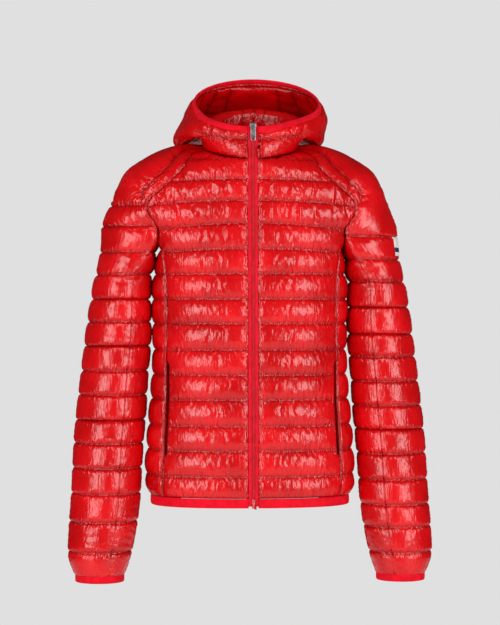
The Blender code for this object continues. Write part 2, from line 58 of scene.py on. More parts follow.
jacket = {
    "width": [(-680, 182), (-655, 189), (-640, 194), (-586, 188), (-540, 183), (-485, 175),
              (-383, 171), (-300, 174), (-170, 172), (-40, 168)],
    "back": [(-680, 112), (-650, 114), (-600, 112), (-500, 106), (-400, 102), (-300, 108),
             (-170, 112), (-100, 112), (-50, 104), (-10, 90)],
    "slope": [(0, (0, 0)), (0.125, (0.174, 0.013)), (0.303, (0.41, 0.103)),
              (0.457, (0.60, 0.226)), (0.58, (0.744, 0.342)), (0.70, (0.836, 0.523)),
              (0.815, (0.903, 0.703)), (0.94, (0.979, 0.903)), (1, (1, 1))],
    "frontRaglan": [(0, 71.0), (0.1, 66.5), (0.2, 57.0), (0.365, 45.0), (0.58, 41.8),
                    (0.67, 45.0), (0.76, 49.0), (0.85, 47.5), (1, 41.8)],
    "backRaglan": [(0, 115.0), (0.1, 117.0), (0.2, 122.0), (0.365, 132.0), (0.58, 138.0),
                   (0.67, 136.0), (0.76, 132.5), (0.85, 133.5), (1, 138.2)],
    "frontSeam": [(-680, 164.0), (-577, 164.0), (-485, 159.5), (-420, 159.0), (-300, 157.5),
                  (-170, 160.0), (-40, 150.0)],
    "backSeam": [(-680, 150.0), (-485, 140.0), (-300, 140.0), (-170, 150.0), (-40, 150.0)],
    "sleeve": [(-812, (280.5, -31, 43, 43)), (-808, (281, -31, 44.5, 44)),
               (-775, (281, -30, 56, 49)), (-725, (275.5, -26, 61, 54)),
               (-670, (270, -20, 62.5, 58)), (-623, (267.5, -14, 62.5, 60)),
               (-559, (264, -6, 63, 62)), (-503, (259, 0, 63, 63)),
               (-448, (254.5, 4, 61, 65)), (-392, (248.5, 5, 60, 66)),
               (-337, (244, 5, 57.5, 68)), (-281, (240.5, 5, 52, 69)),
               (-207, (235, 4, 47, 66)), (-172, (231, 3, 45.5, 62))],
    "hood": [(0, ((0, -102.2, -30), (0, -101.4, -20), (0, -100.4, -8), (0, -99.2, 5))),
             (45, ((67, -78, -17), (76, -80, -4), (86, -81, 7), (93, -79, 20))),
             (90, ((93, -6, 22), (112, -2, 4), (131, 3, -10), (131, 4, 26))),
             (135, ((60, 50, 50), (88, 80, 14), (114, 108, -12), (125, 124, 36))),
             (180, ((0, 74, 61), (0, 115, 20), (0, 158, -17), (0, 190, 38)))],
    "lift": [(0, 0), (0.125, 4), (0.303, 7), (0.457, 8), (0.58, 8), (0.70, 8), (0.815, 6),
             (0.94, 2), (1, 0)],
    "sideBulge": [(-640, 0), (-586, 3), (-540, 6), (-485, 9), (-383, 8), (-300, 8), (-245, 7),
                  (-195, 0)],
    "liftAngle": 92.0, "liftSpread": 32.0,
    "ring": {"halfWidth": 116, "frontY": -98, "frontZ": 18, "deep": 182, "tall": 106},
    "lean": {"size": 13.0, "fromZ": 5, "overZ": 45, "fromY": -100, "overY": 70},
    "zipEdge": 7.8, "hemLevel": 1.9647,
}

# heights of the quilting seams and how far they droop towards the armpit
quilting = {
    "front": [-40, -78.4, -117.3, -159.8, -205.9, -251.6, -297.9, -343.2, -391.1, -437.2, -482.9,
              -530.6, -575.9, -622.5],
    "droop": [0, 6, 8, 12, 8, 2],
    "back": [-38, -78.4, -117.3, -159.8, -205.9, -251.6, -297.9, -343.2, -391.1, -437.2, -482.9,
             -530.6, -575.9, -622.5],
    "right": [-124, -163, -211, -252, -298, -340, -385, -431, -475.5, -522, -565, -610.5, -657,
              -709, -764],
    "left": [-181, -224, -265, -313, -363, -405, -451, -496, -540, -585, -633, -679, -720, -767],
    "cell": 2.75, "seamDepth": 2.0, "edgeZone": 31.0,
}


def spline(table, t):
    keys = np.array([row[0] for row in table], float)
    values = np.array([row[1] for row in table], float)
    flat = values.ndim == 1
    values = values.reshape(len(keys), -1)
    t = np.clip(np.asarray(t, float), keys[0], keys[-1])
    i = np.clip(np.searchsorted(keys, t, side="right") - 1, 0, len(keys) - 2)
    span = (keys[i + 1] - keys[i])[..., None]
    u = (t - keys[i])[..., None] / span

    def slope(k):
        low, high = np.maximum(k - 1, 0), np.minimum(k + 1, len(keys) - 1)
        return (values[high] - values[low]) / (keys[high] - keys[low])[..., None]

    out = ((2 * u**3 - 3 * u**2 + 1) * values[i] + (u**3 - 2 * u**2 + u) * slope(i) * span
           + (3 * u**2 - 2 * u**3) * values[i + 1] + (u**3 - u**2) * slope(i + 1) * span)
    return out[..., 0] if flat else out


def smooth(t):
    t = np.clip(t, 0, 1)
    return t * t * (3 - 2 * t)


def power(value, exponent):
    return np.sign(value) * np.abs(value) ** exponent


def zipY(z):
    return -100 - 24 * (20 - z) / 700


def neckLine(phi):
    a = np.radians(phi)
    return np.stack([82 * np.sin(a), -7.5 - 95.5 * np.cos(a),
                     -41 * ((1 + np.cos(a)) / 2) ** 1.3], -1)


def bodyPoint(phi, z, extra=0.0):
    a = np.radians(phi)
    z = z + 0 * a
    depth = np.where(np.cos(a) > 0, -zipY(z), spline(jacket["back"], z))
    return np.stack([(spline(jacket["width"], z) + extra) * power(np.sin(a), 0.8),
                     -(depth + extra) * power(np.cos(a), 0.8), z], -1)


def rowDrop(s):
    return min(0.0, (1.0 - s) * 510)


def yokePoint(phi, s):
    a = np.radians(phi)
    start = neckLine(phi)
    depth = np.where(np.cos(a) > 0, -zipY(chestZ), 112.0)
    end = np.stack([277 * np.sin(a), -depth * np.cos(a), chestZ + 0 * a], -1)
    out, down = spline(jacket["slope"], min(s, 1.0))
    point = start + (end - start) * [out, out, down]
    rise = spline(jacket["lift"], min(s, 1.0)) * np.exp(
        -((phi - jacket["liftAngle"]) / jacket["liftSpread"]) ** 2)
    point[..., 2] += rowDrop(s) + rise
    return point


def rowHeight(s):
    if s >= 1.0:
        return chestZ + rowDrop(s)
    return -41 - 129 * float(spline(jacket["slope"], s)[1])


def evenly(points, places):
    # points at given distances along a line, places being a count or a rule
    run = np.concatenate([[0], np.cumsum(np.linalg.norm(np.diff(points, axis=0), axis=1))])
    t = places(run[-1])
    return np.stack([np.interp(t, run, points[:, k]) for k in range(3)], -1)


def arcRow(pointAt, start, end, places):
    if isinstance(places, int):
        count = places
        places = lambda length: np.linspace(0, length, count)
    return evenly(pointAt(np.linspace(start, end, 90)), places)


def sideAngle(x, z):
    return math.degrees(math.asin(min(1.0, (x / float(spline(jacket["width"], z))) ** 1.25)))


def fromZip(count):
    return lambda length: np.linspace(jacket["zipEdge"], length, count)


def frontRow(s, count):
    z = rowHeight(s)
    yoke = arcRow(lambda a: yokePoint(a, s), 0, float(spline(jacket["frontRaglan"], min(s, 1))),
                  fromZip(count))
    body = arcRow(lambda a: bodyPoint(a, z), 0, sideAngle(spline(jacket["frontSeam"], z), z),
                  fromZip(count))
    return yoke + (body - yoke) * smooth((s - 0.80) / 0.42)


def halfBack(s, count):
    z = rowHeight(s)
    side = 180 - sideAngle(spline(jacket["backSeam"], z), z)
    yoke = arcRow(lambda a: yokePoint(a, s), float(spline(jacket["backRaglan"], min(s, 1))), 180,
                  count)
    body = arcRow(lambda a: bodyPoint(a, z), side, 180, count)
    return yoke + (body - yoke) * smooth((s - 0.80) / 0.42)


def bothSides(half):
    # a row that ends in the middle plane, carried on as its mirror image
    return np.concatenate([half, half[-2::-1] * [-1, 1, 1]])


def backRow(s, count):
    return bothSides(halfBack(s, count))


def sideRow(s, count):
    z = rowHeight(s)
    front, back = frontRow(s, 3)[-1], halfBack(s, 3)[0]
    flat = front + (back - front) * np.linspace(0, 1, count)[:, None]
    body = arcRow(lambda a: bodyPoint(a, z), sideAngle(spline(jacket["frontSeam"], z), z),
                  180 - sideAngle(spline(jacket["backSeam"], z), z), count)
    row = flat + (body - flat) * smooth((s - 1.02) / 0.20)
    share = np.linspace(0, 1, count)[:, None]
    row[:, 0] += float(spline(jacket["sideBulge"], z)) * np.sin(math.pi * share[:, 0])
    return row + (front - row[0]) * (1 - share) + (back - row[-1]) * share


headCells = {"edge": 10, "middle": 54, "inner": 46}


def headPlaces(length):
    edge = min(quilting["edgeZone"], 0.3 * length)
    n, m = headCells["edge"], headCells["middle"]
    return np.concatenate([np.linspace(0, edge, n + 1),
                           np.linspace(edge, length - edge, m + 1)[1:],
                           np.linspace(length - edge, length, n + 1)[1:]])


def headRow(s):
    row = arcRow(lambda a: yokePoint(a, s), float(spline(jacket["frontRaglan"], s)),
                 float(spline(jacket["backRaglan"], s)), headPlaces)
    front, back = frontRow(s, 3)[-1], halfBack(s, 3)[0]
    near = np.linalg.norm(row - row[0], axis=1)[:, None]
    far = np.linalg.norm(row - row[-1], axis=1)[:, None]
    pull = (front - row[0]) * smooth(1 - near / 60) + (back - row[-1]) * smooth(1 - far / 60)
    return row + pull


def ellipseRing(z, angles):
    cx, cy, hx, hy = spline(jacket["sleeve"], z)
    a = np.radians(angles)
    return np.stack([cx + hx * np.sin(a), cy - hy * np.cos(a), z + 0 * a], -1)


outerCount = 2 * headCells["edge"] + headCells["middle"] + 1
ringAngles = np.concatenate([np.linspace(-20, 200, outerCount),
                             np.linspace(200, 340, headCells["inner"] + 1)[1:-1]])


def tubeRow(z):
    # starts as the armhole and turns into the sleeve's ellipse further down
    top = headRow(1.0)
    inner = np.linspace(0, 1, headCells["inner"] + 1)[1:-1, None]
    ring = np.concatenate([top, top[-1] + (top[0] - top[-1]) * inner])
    ring[:, 2] = z
    return ring + (ellipseRing(z, ringAngles) - ring) * smooth((chestZ - z) / 111)


def hoodPoint(phi, s):
    turn = np.where(phi <= 180, phi, 360 - phi)
    table = jacket["hood"]

    def flip(row, angle):
        return (angle, tuple((-x, y, z) for x, y, z in row[1]))

    around = [flip(table[1], -45)] + table + [flip(table[3], 225)]
    line = [neckLine(turn)]
    for k in range(4):
        line.append(spline([(row[0], row[1][k]) for row in around], turn))
    share = (1 - np.cos(np.radians(turn))) / 2
    ring = jacket["ring"]
    line.append(np.stack([ring["halfWidth"] * np.sin(np.radians(turn)),
                          ring["frontY"] + ring["deep"] * share,
                          ring["frontZ"] + ring["tall"] * share], -1))
    stops = [0.0, 0.2, 0.4, 0.58, 0.78, 1.0]
    line = np.stack(line)
    point = spline([(k, tuple(v.ravel())) for k, v in zip(stops, line)], s).reshape(-1, 3)
    return point * np.stack([np.where(phi > 180, -1, 1), 1 + 0 * turn, 1 + 0 * turn], -1)


def dense(rowAt, start, end, steps):
    levels = np.linspace(start, end, steps)
    return levels, np.stack([rowAt(s) for s in levels])


def quiltGrid(levels, table, seams, cell, droop=()):
    # rows at the seams and evenly between them, found column by column
    columns = table.shape[1]
    lines = [np.full(columns, levels[0])]
    for k, z in enumerate(seams):
        bend = droop[k] if k < len(droop) else 0
        line = np.empty(columns)
        for c in range(columns):
            x = table[np.abs(table[:, c, 2] - z).argmin(), c, 0]
            line[c] = np.interp(-(z - bend * (x / 190) ** 2), -table[:, c, 2], levels)
        lines.append(np.maximum(line, lines[-1] + 0.012))
    lines.append(np.full(columns, levels[-1]))
    points, rows = [], [0]
    for k, (high, low) in enumerate(zip(lines, lines[1:])):
        ends = [np.stack([np.interp(s, levels, table[:, c, i]) for i in range(3)])
                for c in (0, columns // 2, columns - 1) for s in (high[c], low[c])]
        size = max(np.linalg.norm(ends[i] - ends[i + 1]) for i in (0, 2, 4))
        cells = max(4, round(size / cell))
        steps = np.arange(0 if k == 0 else 1, cells + 1) / cells
        points += [high + (low - high) * t for t in steps]
        rows.append(rows[-1] + cells)
    s = np.stack(points)
    grid = np.empty((len(s), columns, 3))
    for c in range(columns):
        for i in range(3):
            grid[:, c, i] = np.interp(s[:, c], levels, table[:, c, i])
    return grid, rows


def gridFaces(rows, columns, first=0, closed=False):
    index = first + np.arange(rows * columns).reshape(rows, columns)
    if closed:
        index = np.concatenate([index, index[:, :1]], axis=1)
    return np.stack([index[:-1, :-1], index[1:, :-1], index[1:, 1:], index[:-1, 1:]],
                    -1).reshape(-1, 4)


def pointNormals(points, faces):
    corner = points[faces]
    face = np.cross(corner[:, 2] - corner[:, 0], corner[:, 3] - corner[:, 1])
    normals = np.zeros_like(points)
    for k in range(4):
        np.add.at(normals, faces[:, k], face)
    return normals / np.maximum(np.linalg.norm(normals, axis=1), 1e-9)[:, None]


def inward(grid, depth, closed=False):
    # the same grid moved towards the inside of the jacket
    faces = gridFaces(*grid.shape[:2], 0, closed)
    return grid - depth * pointNormals(grid.reshape(-1, 3), faces).reshape(grid.shape)


cloths = []


def addCloth(name, points, faces, pinned, lines, along, down, look, side=1, outward=1,
             puff=1.0, plain=0, backing=6.0):
    # one cut piece: its pattern shape, where it is sewn down and the seam lines to stitch
    points = points.reshape(-1, 3)
    if side < 0:
        points = points * [-1, 1, 1]
        faces = faces[:, ::-1]
    cloths.append({"name": name, "points": points, "faces": faces, "pinned": pinned.ravel(),
                   "lines": lines, "along": along.ravel(), "down": down.ravel(), "look": look,
                   "outward": outward, "puff": puff, "plain": plain, "backing": backing})
    return cloths[-1]


def runs(grid):
    # distance along each row and down each column
    along = np.concatenate([np.zeros((len(grid), 1)),
                            np.cumsum(np.linalg.norm(np.diff(grid, axis=1), axis=2), 1)], 1)
    down = np.concatenate([np.zeros((1, grid.shape[1])),
                           np.cumsum(np.linalg.norm(np.diff(grid, axis=0), axis=2), 0)], 0)
    return along, down


def gridCloth(name, grid, seamRows, look, closed=False, side=1, seamColumns=(), outward=1,
              puff=1.0, pins=None, plain=0, backing=6.0):
    rows, columns, _ = grid.shape
    pinned = np.zeros((rows, columns))
    pinned[seamRows] = 1
    pinned[[0, -1]] = 1
    if not closed:
        pinned[:, [0, -1]] = 1
    for c in seamColumns:
        pinned[:, c] = 1
    if pins is not None:
        pinned = np.maximum(pinned, pins)
    index = np.arange(rows * columns).reshape(rows, columns)
    lines = [index[r] for r in seamRows if 0 < r < rows - 1]
    lines += [index[:, c] for c in seamColumns]
    along, down = runs(grid)
    return addCloth(name, grid, gridFaces(rows, columns, 0, closed), pinned, lines, along, down,
                    look, side, outward, puff, plain, backing)


cell = quilting["cell"]

pocket = {"top": -410.0, "bottom": -590.0, "frontSlit": 9.0, "sideSlit": 0.6, "ramp": 9.0}


def openSlit(grid, edge, width):
    # draws the edge of a panel back along the pocket mouth
    z = grid[:, edge, 2]
    share = smooth((pocket["top"] - z) / pocket["ramp"]) * smooth(
        (z - pocket["bottom"]) / pocket["ramp"])
    way = grid[:, 1 if edge == 0 else -2] - grid[:, edge]
    way /= np.linalg.norm(way, axis=1)[:, None]
    far = np.linalg.norm(grid - grid[:, [edge]], axis=2)
    grid += way[:, None] * (share[:, None] * width * smooth(1 - far / 25))[..., None]


# fronts, back and sides
frontColumns, backColumns, sideColumns = 63, 56, 33
levels, table = dense(lambda s: frontRow(s, frontColumns), 0.0, jacket["hemLevel"], 260)
grid, rows = quiltGrid(levels, table, quilting["front"], cell, quilting["droop"])
openSlit(grid, -1, pocket["frontSlit"])
for word, side in sides:
    piece = gridCloth("frontPanel." + word, grid, rows[1:-1], "shell", side=side)
    pinned = piece["pinned"].reshape(grid.shape[:2])
    hidden = grid[rows[1], :, 0] < 58
    pinned[rows[1], hidden] = 0
    pinned[:, 0] = 1
    piece["pinned"] = pinned.ravel()
    piece["lines"][0] = piece["lines"][0][~hidden]

levels, table = dense(lambda s: backRow(s, backColumns), 0.0, jacket["hemLevel"], 260)
grid, rows = quiltGrid(levels, table, quilting["back"], 3.0, quilting["droop"])
gridCloth("backPanel", grid, rows[1:-1], "shell")

sideSeams = [z for z in quilting["front"] if z < -200]
levels, table = dense(lambda s: sideRow(s, sideColumns), 1.0, jacket["hemLevel"], 160)
grid, rows = quiltGrid(levels, table, sideSeams, cell)
openSlit(grid, 0, pocket["sideSlit"])
for word, side in sides:
    gridCloth("sidePanel." + word, grid, rows[1:-1], "shell", side=side)
print("body panels cut")


def sleeveRows(top, bottom, seams):
    inside = [z for z in seams if bottom + 1 < z < top - 1]
    zs, marks = [top], [0]
    for high, low in zip([top] + inside, inside + [bottom]):
        cells = max(2, round((high - low) / 3.0))
        zs += [high + (low - high) * k / cells for k in range(1, cells + 1)]
        marks.append(len(zs) - 1)
    return zs, marks


def shoulder(word, side, seams, bottom):
    # the sleeve head between the raglan seams, joined to the first part of the tube
    n = headCells["edge"]
    above = [z for z in seams if z > chestZ]
    levels, table = dense(headRow, 0.0, 1.0, 130)
    head, marks = quiltGrid(levels, table, above, 3.0)
    zs, tubeMarks = sleeveRows(chestZ, bottom, seams)
    ring = np.stack([tubeRow(z) for z in zs])
    rows, columns = head.shape[:2]
    tubeColumns = ring.shape[1]
    index = np.arange(rows * columns).reshape(rows, columns)
    extra = rows * columns
    inner = extra + np.arange(tubeColumns - columns)
    extra += len(inner)
    tubeIndex = np.concatenate([
        np.concatenate([index[-1], inner])[None],
        extra + np.arange((len(zs) - 1) * tubeColumns).reshape(-1, tubeColumns)])
    points = np.concatenate([head.reshape(-1, 3), ring[0, columns:], ring[1:].reshape(-1, 3)])
    wrap = np.concatenate([tubeIndex, tubeIndex[:, :1]], axis=1)
    faces = np.concatenate([gridFaces(rows, columns), np.stack(
        [wrap[:-1, :-1], wrap[1:, :-1], wrap[1:, 1:], wrap[:-1, 1:]], -1).reshape(-1, 4)])
    pinned = np.zeros(len(points))
    pinned[index[0]] = pinned[index[:, 0]] = pinned[index[:, -1]] = 1
    pinned[inner] = 1
    lines = []
    for r in marks[1:-1]:
        pinned[index[r]] = 1
        lines.append(index[r])
    for r in tubeMarks[1:]:
        pinned[tubeIndex[r]] = 1
        if r < len(zs) - 1:
            lines.append(tubeIndex[r])
    # quilting beside each raglan seam, with a corner that turns down to the armhole
    for column, step in ((n, -1), (columns - 1 - n, 1)):
        stop = int(np.abs(head[:, column, 2] + 99).argmin())
        path = list(index[:stop, column])
        r, c = stop, column
        while 0 < c < columns - 1 and r < rows - 1:
            path.append(index[r, c])
            r += 1
            c += step
        path.append(index[r, c])
        pinned[path] = 1
        lines.append(np.array(path))
    headAlong, headDown = runs(head)
    ringAlong, ringDown = runs(ring)
    along = np.concatenate([headAlong.ravel(), ringAlong[0, columns:], ringAlong[1:].ravel()])
    base = headDown[-1].mean()
    down = np.concatenate([headDown.ravel(), base + ringDown[0, columns:],
                           base + ringDown[1:].ravel()])
    addCloth("shoulder." + word, points, faces, pinned, lines, along, down, "shell", side,
             puff=1.1)


sleeveParts = {"left": (-313, -363, -540, -811), "right": (-298, -385, -522, -811)}
for word, side in sides:
    seams = quilting[word]
    cuts = sleeveParts[word]
    shoulder(word, side, seams, cuts[0])
    for name, top, bottom in zip(("upperSleeve.", "elbow.", "forearm."), cuts, cuts[1:]):
        zs, marks = sleeveRows(top, bottom, seams)
        ring = np.stack([tubeRow(z) for z in zs])
        gridCloth(name + word, ring, marks[1:-1], "shell", closed=True, side=side, puff=1.1)
print("sleeves cut")

# hood, with its sides and middle meeting on two seams
hood = {"seamAngle": 150.0, "sideCells": 92, "middleCells": 28, "rows": 66, "top": 0.985,
        "seamRows": (22, 36, 50), "quiltFrom": 0.70, "crescentEnd": 52, "backing": 3.0}
hoodInner = {"columns": 221, "rows": 62, "low": 0.03, "top": 0.975, "depth": 6.5, "ridge": 36,
             "sideAngles": (125, 144, 158.5, 201.5, 216, 235), "napeAngles": (166, 180, 197),
             "napeRow": 44, "crossRow": 54, "cross": (80, 141), "zipGap": 9}


def hoodGrid(start, end, columns, low, high, count):
    phi = np.linspace(start, end, columns)
    fine = np.stack([hoodPoint(phi, s) for s in np.linspace(high, low, 160)])
    step = np.linalg.norm(np.diff(fine, axis=0), axis=2)
    run = np.concatenate([np.zeros((1, columns)), np.cumsum(step, 0)])
    grid = np.empty((count, columns, 3))
    for c in range(columns):
        t = np.linspace(0, run[-1, c], count)
        for i in range(3):
            grid[:, c, i] = np.interp(t, run[:, c], fine[:, c, i])
    if start == 0:
        grid[:, 0, 0] = np.maximum(grid[:, 0, 0], jacket["zipEdge"])
        for c in range(1, 4):
            grid[:, c, 0] = np.maximum(grid[:, c, 0], jacket["zipEdge"] + 2.0 * c)
    return grid


n = hood["rows"]
for word, side in sides:
    grid = hoodGrid(0, hood["seamAngle"], hood["sideCells"] + 1, 0.0, hood["top"], n)
    quilted = int(hood["quiltFrom"] * grid.shape[1])
    pins = np.zeros(grid.shape[:2])
    crescent = []
    for c in range(grid.shape[1]):
        front = c * hood["seamAngle"] / hood["sideCells"]
        if front < hood["crescentEnd"]:
            r = int(np.abs(grid[:, c, 2] + 6 - 10 * (front / hood["crescentEnd"]) ** 2).argmin())
            crescent.append(r * grid.shape[1] + c)
    pins.ravel()[crescent] = 1
    pins[hood["seamRows"], quilted:] = 1
    piece = gridCloth("hoodSide." + word, grid, [0], "shell", side=side, pins=pins,
                      backing=hood["backing"])
    index = np.arange(pins.size).reshape(pins.shape)
    piece["lines"] = [np.array(crescent)] + [index[r, quilted:] for r in hood["seamRows"]]
grid = hoodGrid(hood["seamAngle"], 360 - hood["seamAngle"], 2 * hood["middleCells"] + 1, 0.0,
                hood["top"], n)
gridCloth("hoodCentre", grid, [0, *hood["seamRows"]], "shell", backing=hood["backing"])
grid = hoodGrid(0, 360, hoodInner["columns"], hoodInner["low"], hoodInner["top"],
                hoodInner["rows"])
grid[:, :4, 0] = np.maximum(grid[:, :4, 0], hoodInner["zipGap"])
grid[:, -4:, 0] = np.minimum(grid[:, -4:, 0], -hoodInner["zipGap"])
pins = np.zeros(grid.shape[:2])
index = np.arange(pins.size).reshape(pins.shape)
seams = [(slice(0, hoodInner["ridge"]), angle) for angle in hoodInner["sideAngles"]]
seams += [(slice(hoodInner["napeRow"], None), angle) for angle in hoodInner["napeAngles"]]
seams = [(part, round(angle / 360 * (hoodInner["columns"] - 1))) for part, angle in seams]
seams.append((hoodInner["crossRow"], slice(*hoodInner["cross"])))
for place in seams:
    pins[place] = 1
lines = [index[place] for place in seams]
piece = gridCloth("hoodLining", inward(grid, hoodInner["depth"]), [0, hoodInner["ridge"]],
                  "lining", pins=pins, outward=-1, puff=0.8, backing=2.4)
piece["lines"] = lines + [index[hoodInner["ridge"]]]
print("hood cut")


def jacketRow(s):
    # the whole round of the jacket from one zip edge to the other
    half = halfBack(s, 22)
    middle = headRow(s)[::3] if s < 1.0 else sideRow(s, 26)
    return bothSides(np.concatenate([frontRow(s, 26)[:-1], middle[:-1], half]))


def liner(name, start, end, seams, depth):
    levels, table = dense(jacketRow, start, end, 90)
    grid, rows = quiltGrid(levels, table, seams, 7.0)
    gridCloth(name, inward(grid, depth), rows[1:-1], "lining", outward=-1, plain=3.0,
              backing=3.2)


liner("yokeLining", 0.05, 0.999, [-78.4, -117.3], 9.5)
liner("bodyLining", 1.0, 1.955, [z for z in quilting["front"] if z < -200], 14.5)
for word, side in sides:
    for name, top, bottom in (("upperLining.", -226, -392), ("forearmLining.", -508, -808)):
        zs, marks = sleeveRows(top, bottom, quilting[word])
        ring = np.stack([tubeRow(z) for z in zs])[:, ::2]
        gridCloth(name + word, inward(ring, 9.5, True), marks[1:-1], "lining", closed=True,
                  side=side, outward=-1, plain=2.5, backing=3.2)


def pocketBag(word, side):
    levels, table = dense(lambda s: frontRow(s, 34)[9:28], 1.50, 1.85, 40)
    gridCloth("pocketBag." + word, inward(table[::2], 7.5), [0], "lining", side=side,
              plain=2.0, backing=3.2)


pocketBag("left", 1)
pocketBag("right", -1)
print("linings cut")

# each piece is sewn down along its seams and blown out between them
sewing = {"scale": 20.0, "frames": 20, "slack": 0.05, "pressure": 1.0, "start": 1.0,
          "jitter": 0.3, "limit": 8.5, "seed": 7, "puff": 7.0, "puffReach": 8.0}
nylonCloth = {
    "quality": 5, "mass": 0.15, "tension_stiffness": 40, "compression_stiffness": 40,
    "shear_stiffness": 5, "bending_stiffness": 0.3, "tension_damping": 5,
    "compression_damping": 5, "shear_damping": 5, "bending_damping": 0.5, "air_damping": 1.0,
    "vertex_group_mass": "pin", "shrink_min": -sewing["slack"], "use_pressure": True,
    "uniform_pressure_force": sewing["pressure"],
}


def startCloth(piece):
    points, faces, pinned = piece["points"], piece["faces"], piece["pinned"]
    normals = pointNormals(points, faces) * piece["outward"]
    piece["normals"] = normals
    piece["sewn"] = points - normals * quilting["seamDepth"]
    random = np.random.default_rng(sewing["seed"] + len(piece["name"]) + len(points))
    free = (1 - pinned) * (sewing["start"] + random.normal(0, sewing["jitter"], len(points)))
    start = (piece["sewn"] + normals * free[:, None]) * 0.001 * sewing["scale"]
    mesh = bpy.data.meshes.new("sim." + piece["name"])
    mesh.from_pydata(start.tolist(), [], (faces if piece["outward"] > 0
                                          else faces[:, ::-1]).tolist())
    item = bpy.data.objects.new(mesh.name, mesh)
    bpy.context.scene.collection.objects.link(item)
    group = item.vertex_groups.new(name="pin")
    group.add([int(i) for i in np.nonzero(pinned > 0.5)[0]], 1.0, "REPLACE")
    step = item.modifiers.new("cloth", "CLOTH")
    for key, value in nylonCloth.items():
        setattr(step.settings, key, value)
    step.settings.effector_weights.gravity = 0
    step.collision_settings.use_collision = False
    step.point_cache.frame_start = 1
    step.point_cache.frame_end = sewing["frames"]
    return item


def settle(wanted):
    items = [startCloth(piece) for piece in wanted]
    for number in range(1, sewing["frames"] + 1):
        bpy.context.scene.frame_set(number)
    graph = bpy.context.evaluated_depsgraph_get()
    for piece, item in zip(wanted, items):
        mesh = item.evaluated_get(graph).data
        points = np.empty(len(mesh.vertices) * 3, np.float32)
        mesh.vertices.foreach_get("co", points)
        moved = points.reshape(-1, 3) / sewing["scale"] / 0.001 - piece["sewn"]
        size = np.linalg.norm(moved, axis=1)[:, None]
        moved *= np.minimum(1, sewing["limit"] / np.maximum(size, 1e-6)) * piece["puff"]
        piece["shape"] = piece["sewn"] + moved
    for item in items:
        bpy.data.objects.remove(item)
    bpy.context.scene.frame_set(1)


def nearness(piece):
    # distance to the closest sewn point
    spots = np.nonzero(piece["pinned"] > 0.5)[0]
    tree = KDTree(len(spots))
    for i in spots:
        tree.insert(piece["points"][i], int(i))
    tree.balance()
    return np.array([tree.find(p)[2] for p in piece["points"]])


def plainPuff(piece):
    normals = pointNormals(piece["points"], piece["faces"]) * piece["outward"]
    piece["normals"] = normals
    piece["sewn"] = piece["points"] - normals * quilting["seamDepth"]
    rise = (piece["plain"] or sewing["puff"]) * (1 - piece["pinned"]) * (
        1 - np.exp(-piece["near"] / sewing["puffReach"]))
    piece["shape"] = piece["sewn"] + normals * (rise * piece["puff"])[:, None]


began = time.time()
for piece in cloths:
    piece["near"] = nearness(piece)
plain = [piece for piece in cloths if piece["plain"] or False]
for piece in plain:
    plainPuff(piece)
settle([piece for piece in cloths if not piece["plain"]])
print("cloth settled:", sum(len(p["points"]) for p in cloths), "points",
      round(time.time() - began, 1), "s")


def toRow(points):
    return (np.asarray(points, float) - (0, loopY, 0)) * 0.001


def leanHood(points):
    # the hood hangs a little to the wearer's left; its front edge and neck seam stay put
    lean = jacket["lean"]
    share = smooth((points[:, 2] - lean["fromZ"]) / lean["overZ"]) * smooth(
        (points[:, 1] - lean["fromY"]) / lean["overY"])
    return points + lean["size"] * share[:, None] * [1, 0, 0]


def makeMesh(name, points, faces, smoothed=True):
    if name.startswith("hood"):
        points = leanHood(points)
    mesh = bpy.data.meshes.new(name)
    mesh.from_pydata(toRow(points).tolist(), [], [tuple(int(i) for i in f) for f in faces])
    mesh.polygons.foreach_set("use_smooth", [smoothed] * len(mesh.polygons))
    mesh.update()
    item = bpy.data.objects.new(name, mesh)
    bpy.context.scene.collection.objects.link(item)
    return item


def clothData(item, values):
    # where each point lies on its cloth: along, down and distance to a seam, in metres
    attribute = item.data.attributes.new("cloth", "FLOAT_VECTOR", "POINT")
    attribute.data.foreach_set("vector", values.astype(np.float32).ravel())


def stitchSlots(item, plainFaces):
    # the faces after the plain ones are stitches and take the second material
    slots = np.zeros(len(item.data.polygons), np.int32)
    slots[plainFaces:] = 1
    item.data.polygons.foreach_set("material_index", slots)


def rimFaces(faces, count):
    # walls that join the outer layer to the backing along every open edge
    edges = np.concatenate([faces[:, [k, (k + 1) % 4]] for k in range(4)])
    seen = {(int(a), int(b)) for a, b in edges}
    return np.array([(b, a, a + count, b + count) for a, b in sorted(seen)
                     if (b, a) not in seen]).reshape(-1, 4)


stitch = {"shortest": 0.8, "halfWidth": 0.28, "rise": 0.45, "gap": 0.18, "sunk": -0.6,
          "proud": 0.8, "pitch": 2.6}


def stitchBlocks(a, b, up):
    # one small raised stitch between each pair of points
    way = b - a
    size = np.linalg.norm(way, axis=1)
    keep = size > stitch["shortest"]
    a, b, up, way = a[keep], b[keep], up[keep], way[keep] / size[keep][:, None]
    wide, rise = np.cross(way, up) * stitch["halfWidth"], up * stitch["rise"]
    low, high = a + (b - a) * stitch["gap"], a + (b - a) * (1 - stitch["gap"])
    sunk, proud = stitch["sunk"], stitch["proud"]
    corners = []
    for end in (low, high):
        for sign, lift in ((-1, sunk), (1, sunk), (1, proud), (-1, proud)):
            corners.append(end + wide * sign + rise * lift)
    points = np.stack(corners, 1).reshape(-1, 3)
    block = np.array([(0, 1, 2, 3), (7, 6, 5, 4), (0, 4, 5, 1), (1, 5, 6, 2), (2, 6, 7, 3),
                      (3, 7, 4, 0)])
    faces = (block[None] + 8 * np.arange(len(a))[:, None, None]).reshape(-1, 4)
    return points, faces


def seamStitches(piece):
    starts, ends = [], []
    for line in piece["lines"]:
        starts += list(line[:-1])
        ends += list(line[1:])
    if not starts:
        return np.zeros((0, 3)), np.zeros((0, 4), int)
    return stitchBlocks(piece["shape"][starts], piece["shape"][ends], piece["normals"][starts])


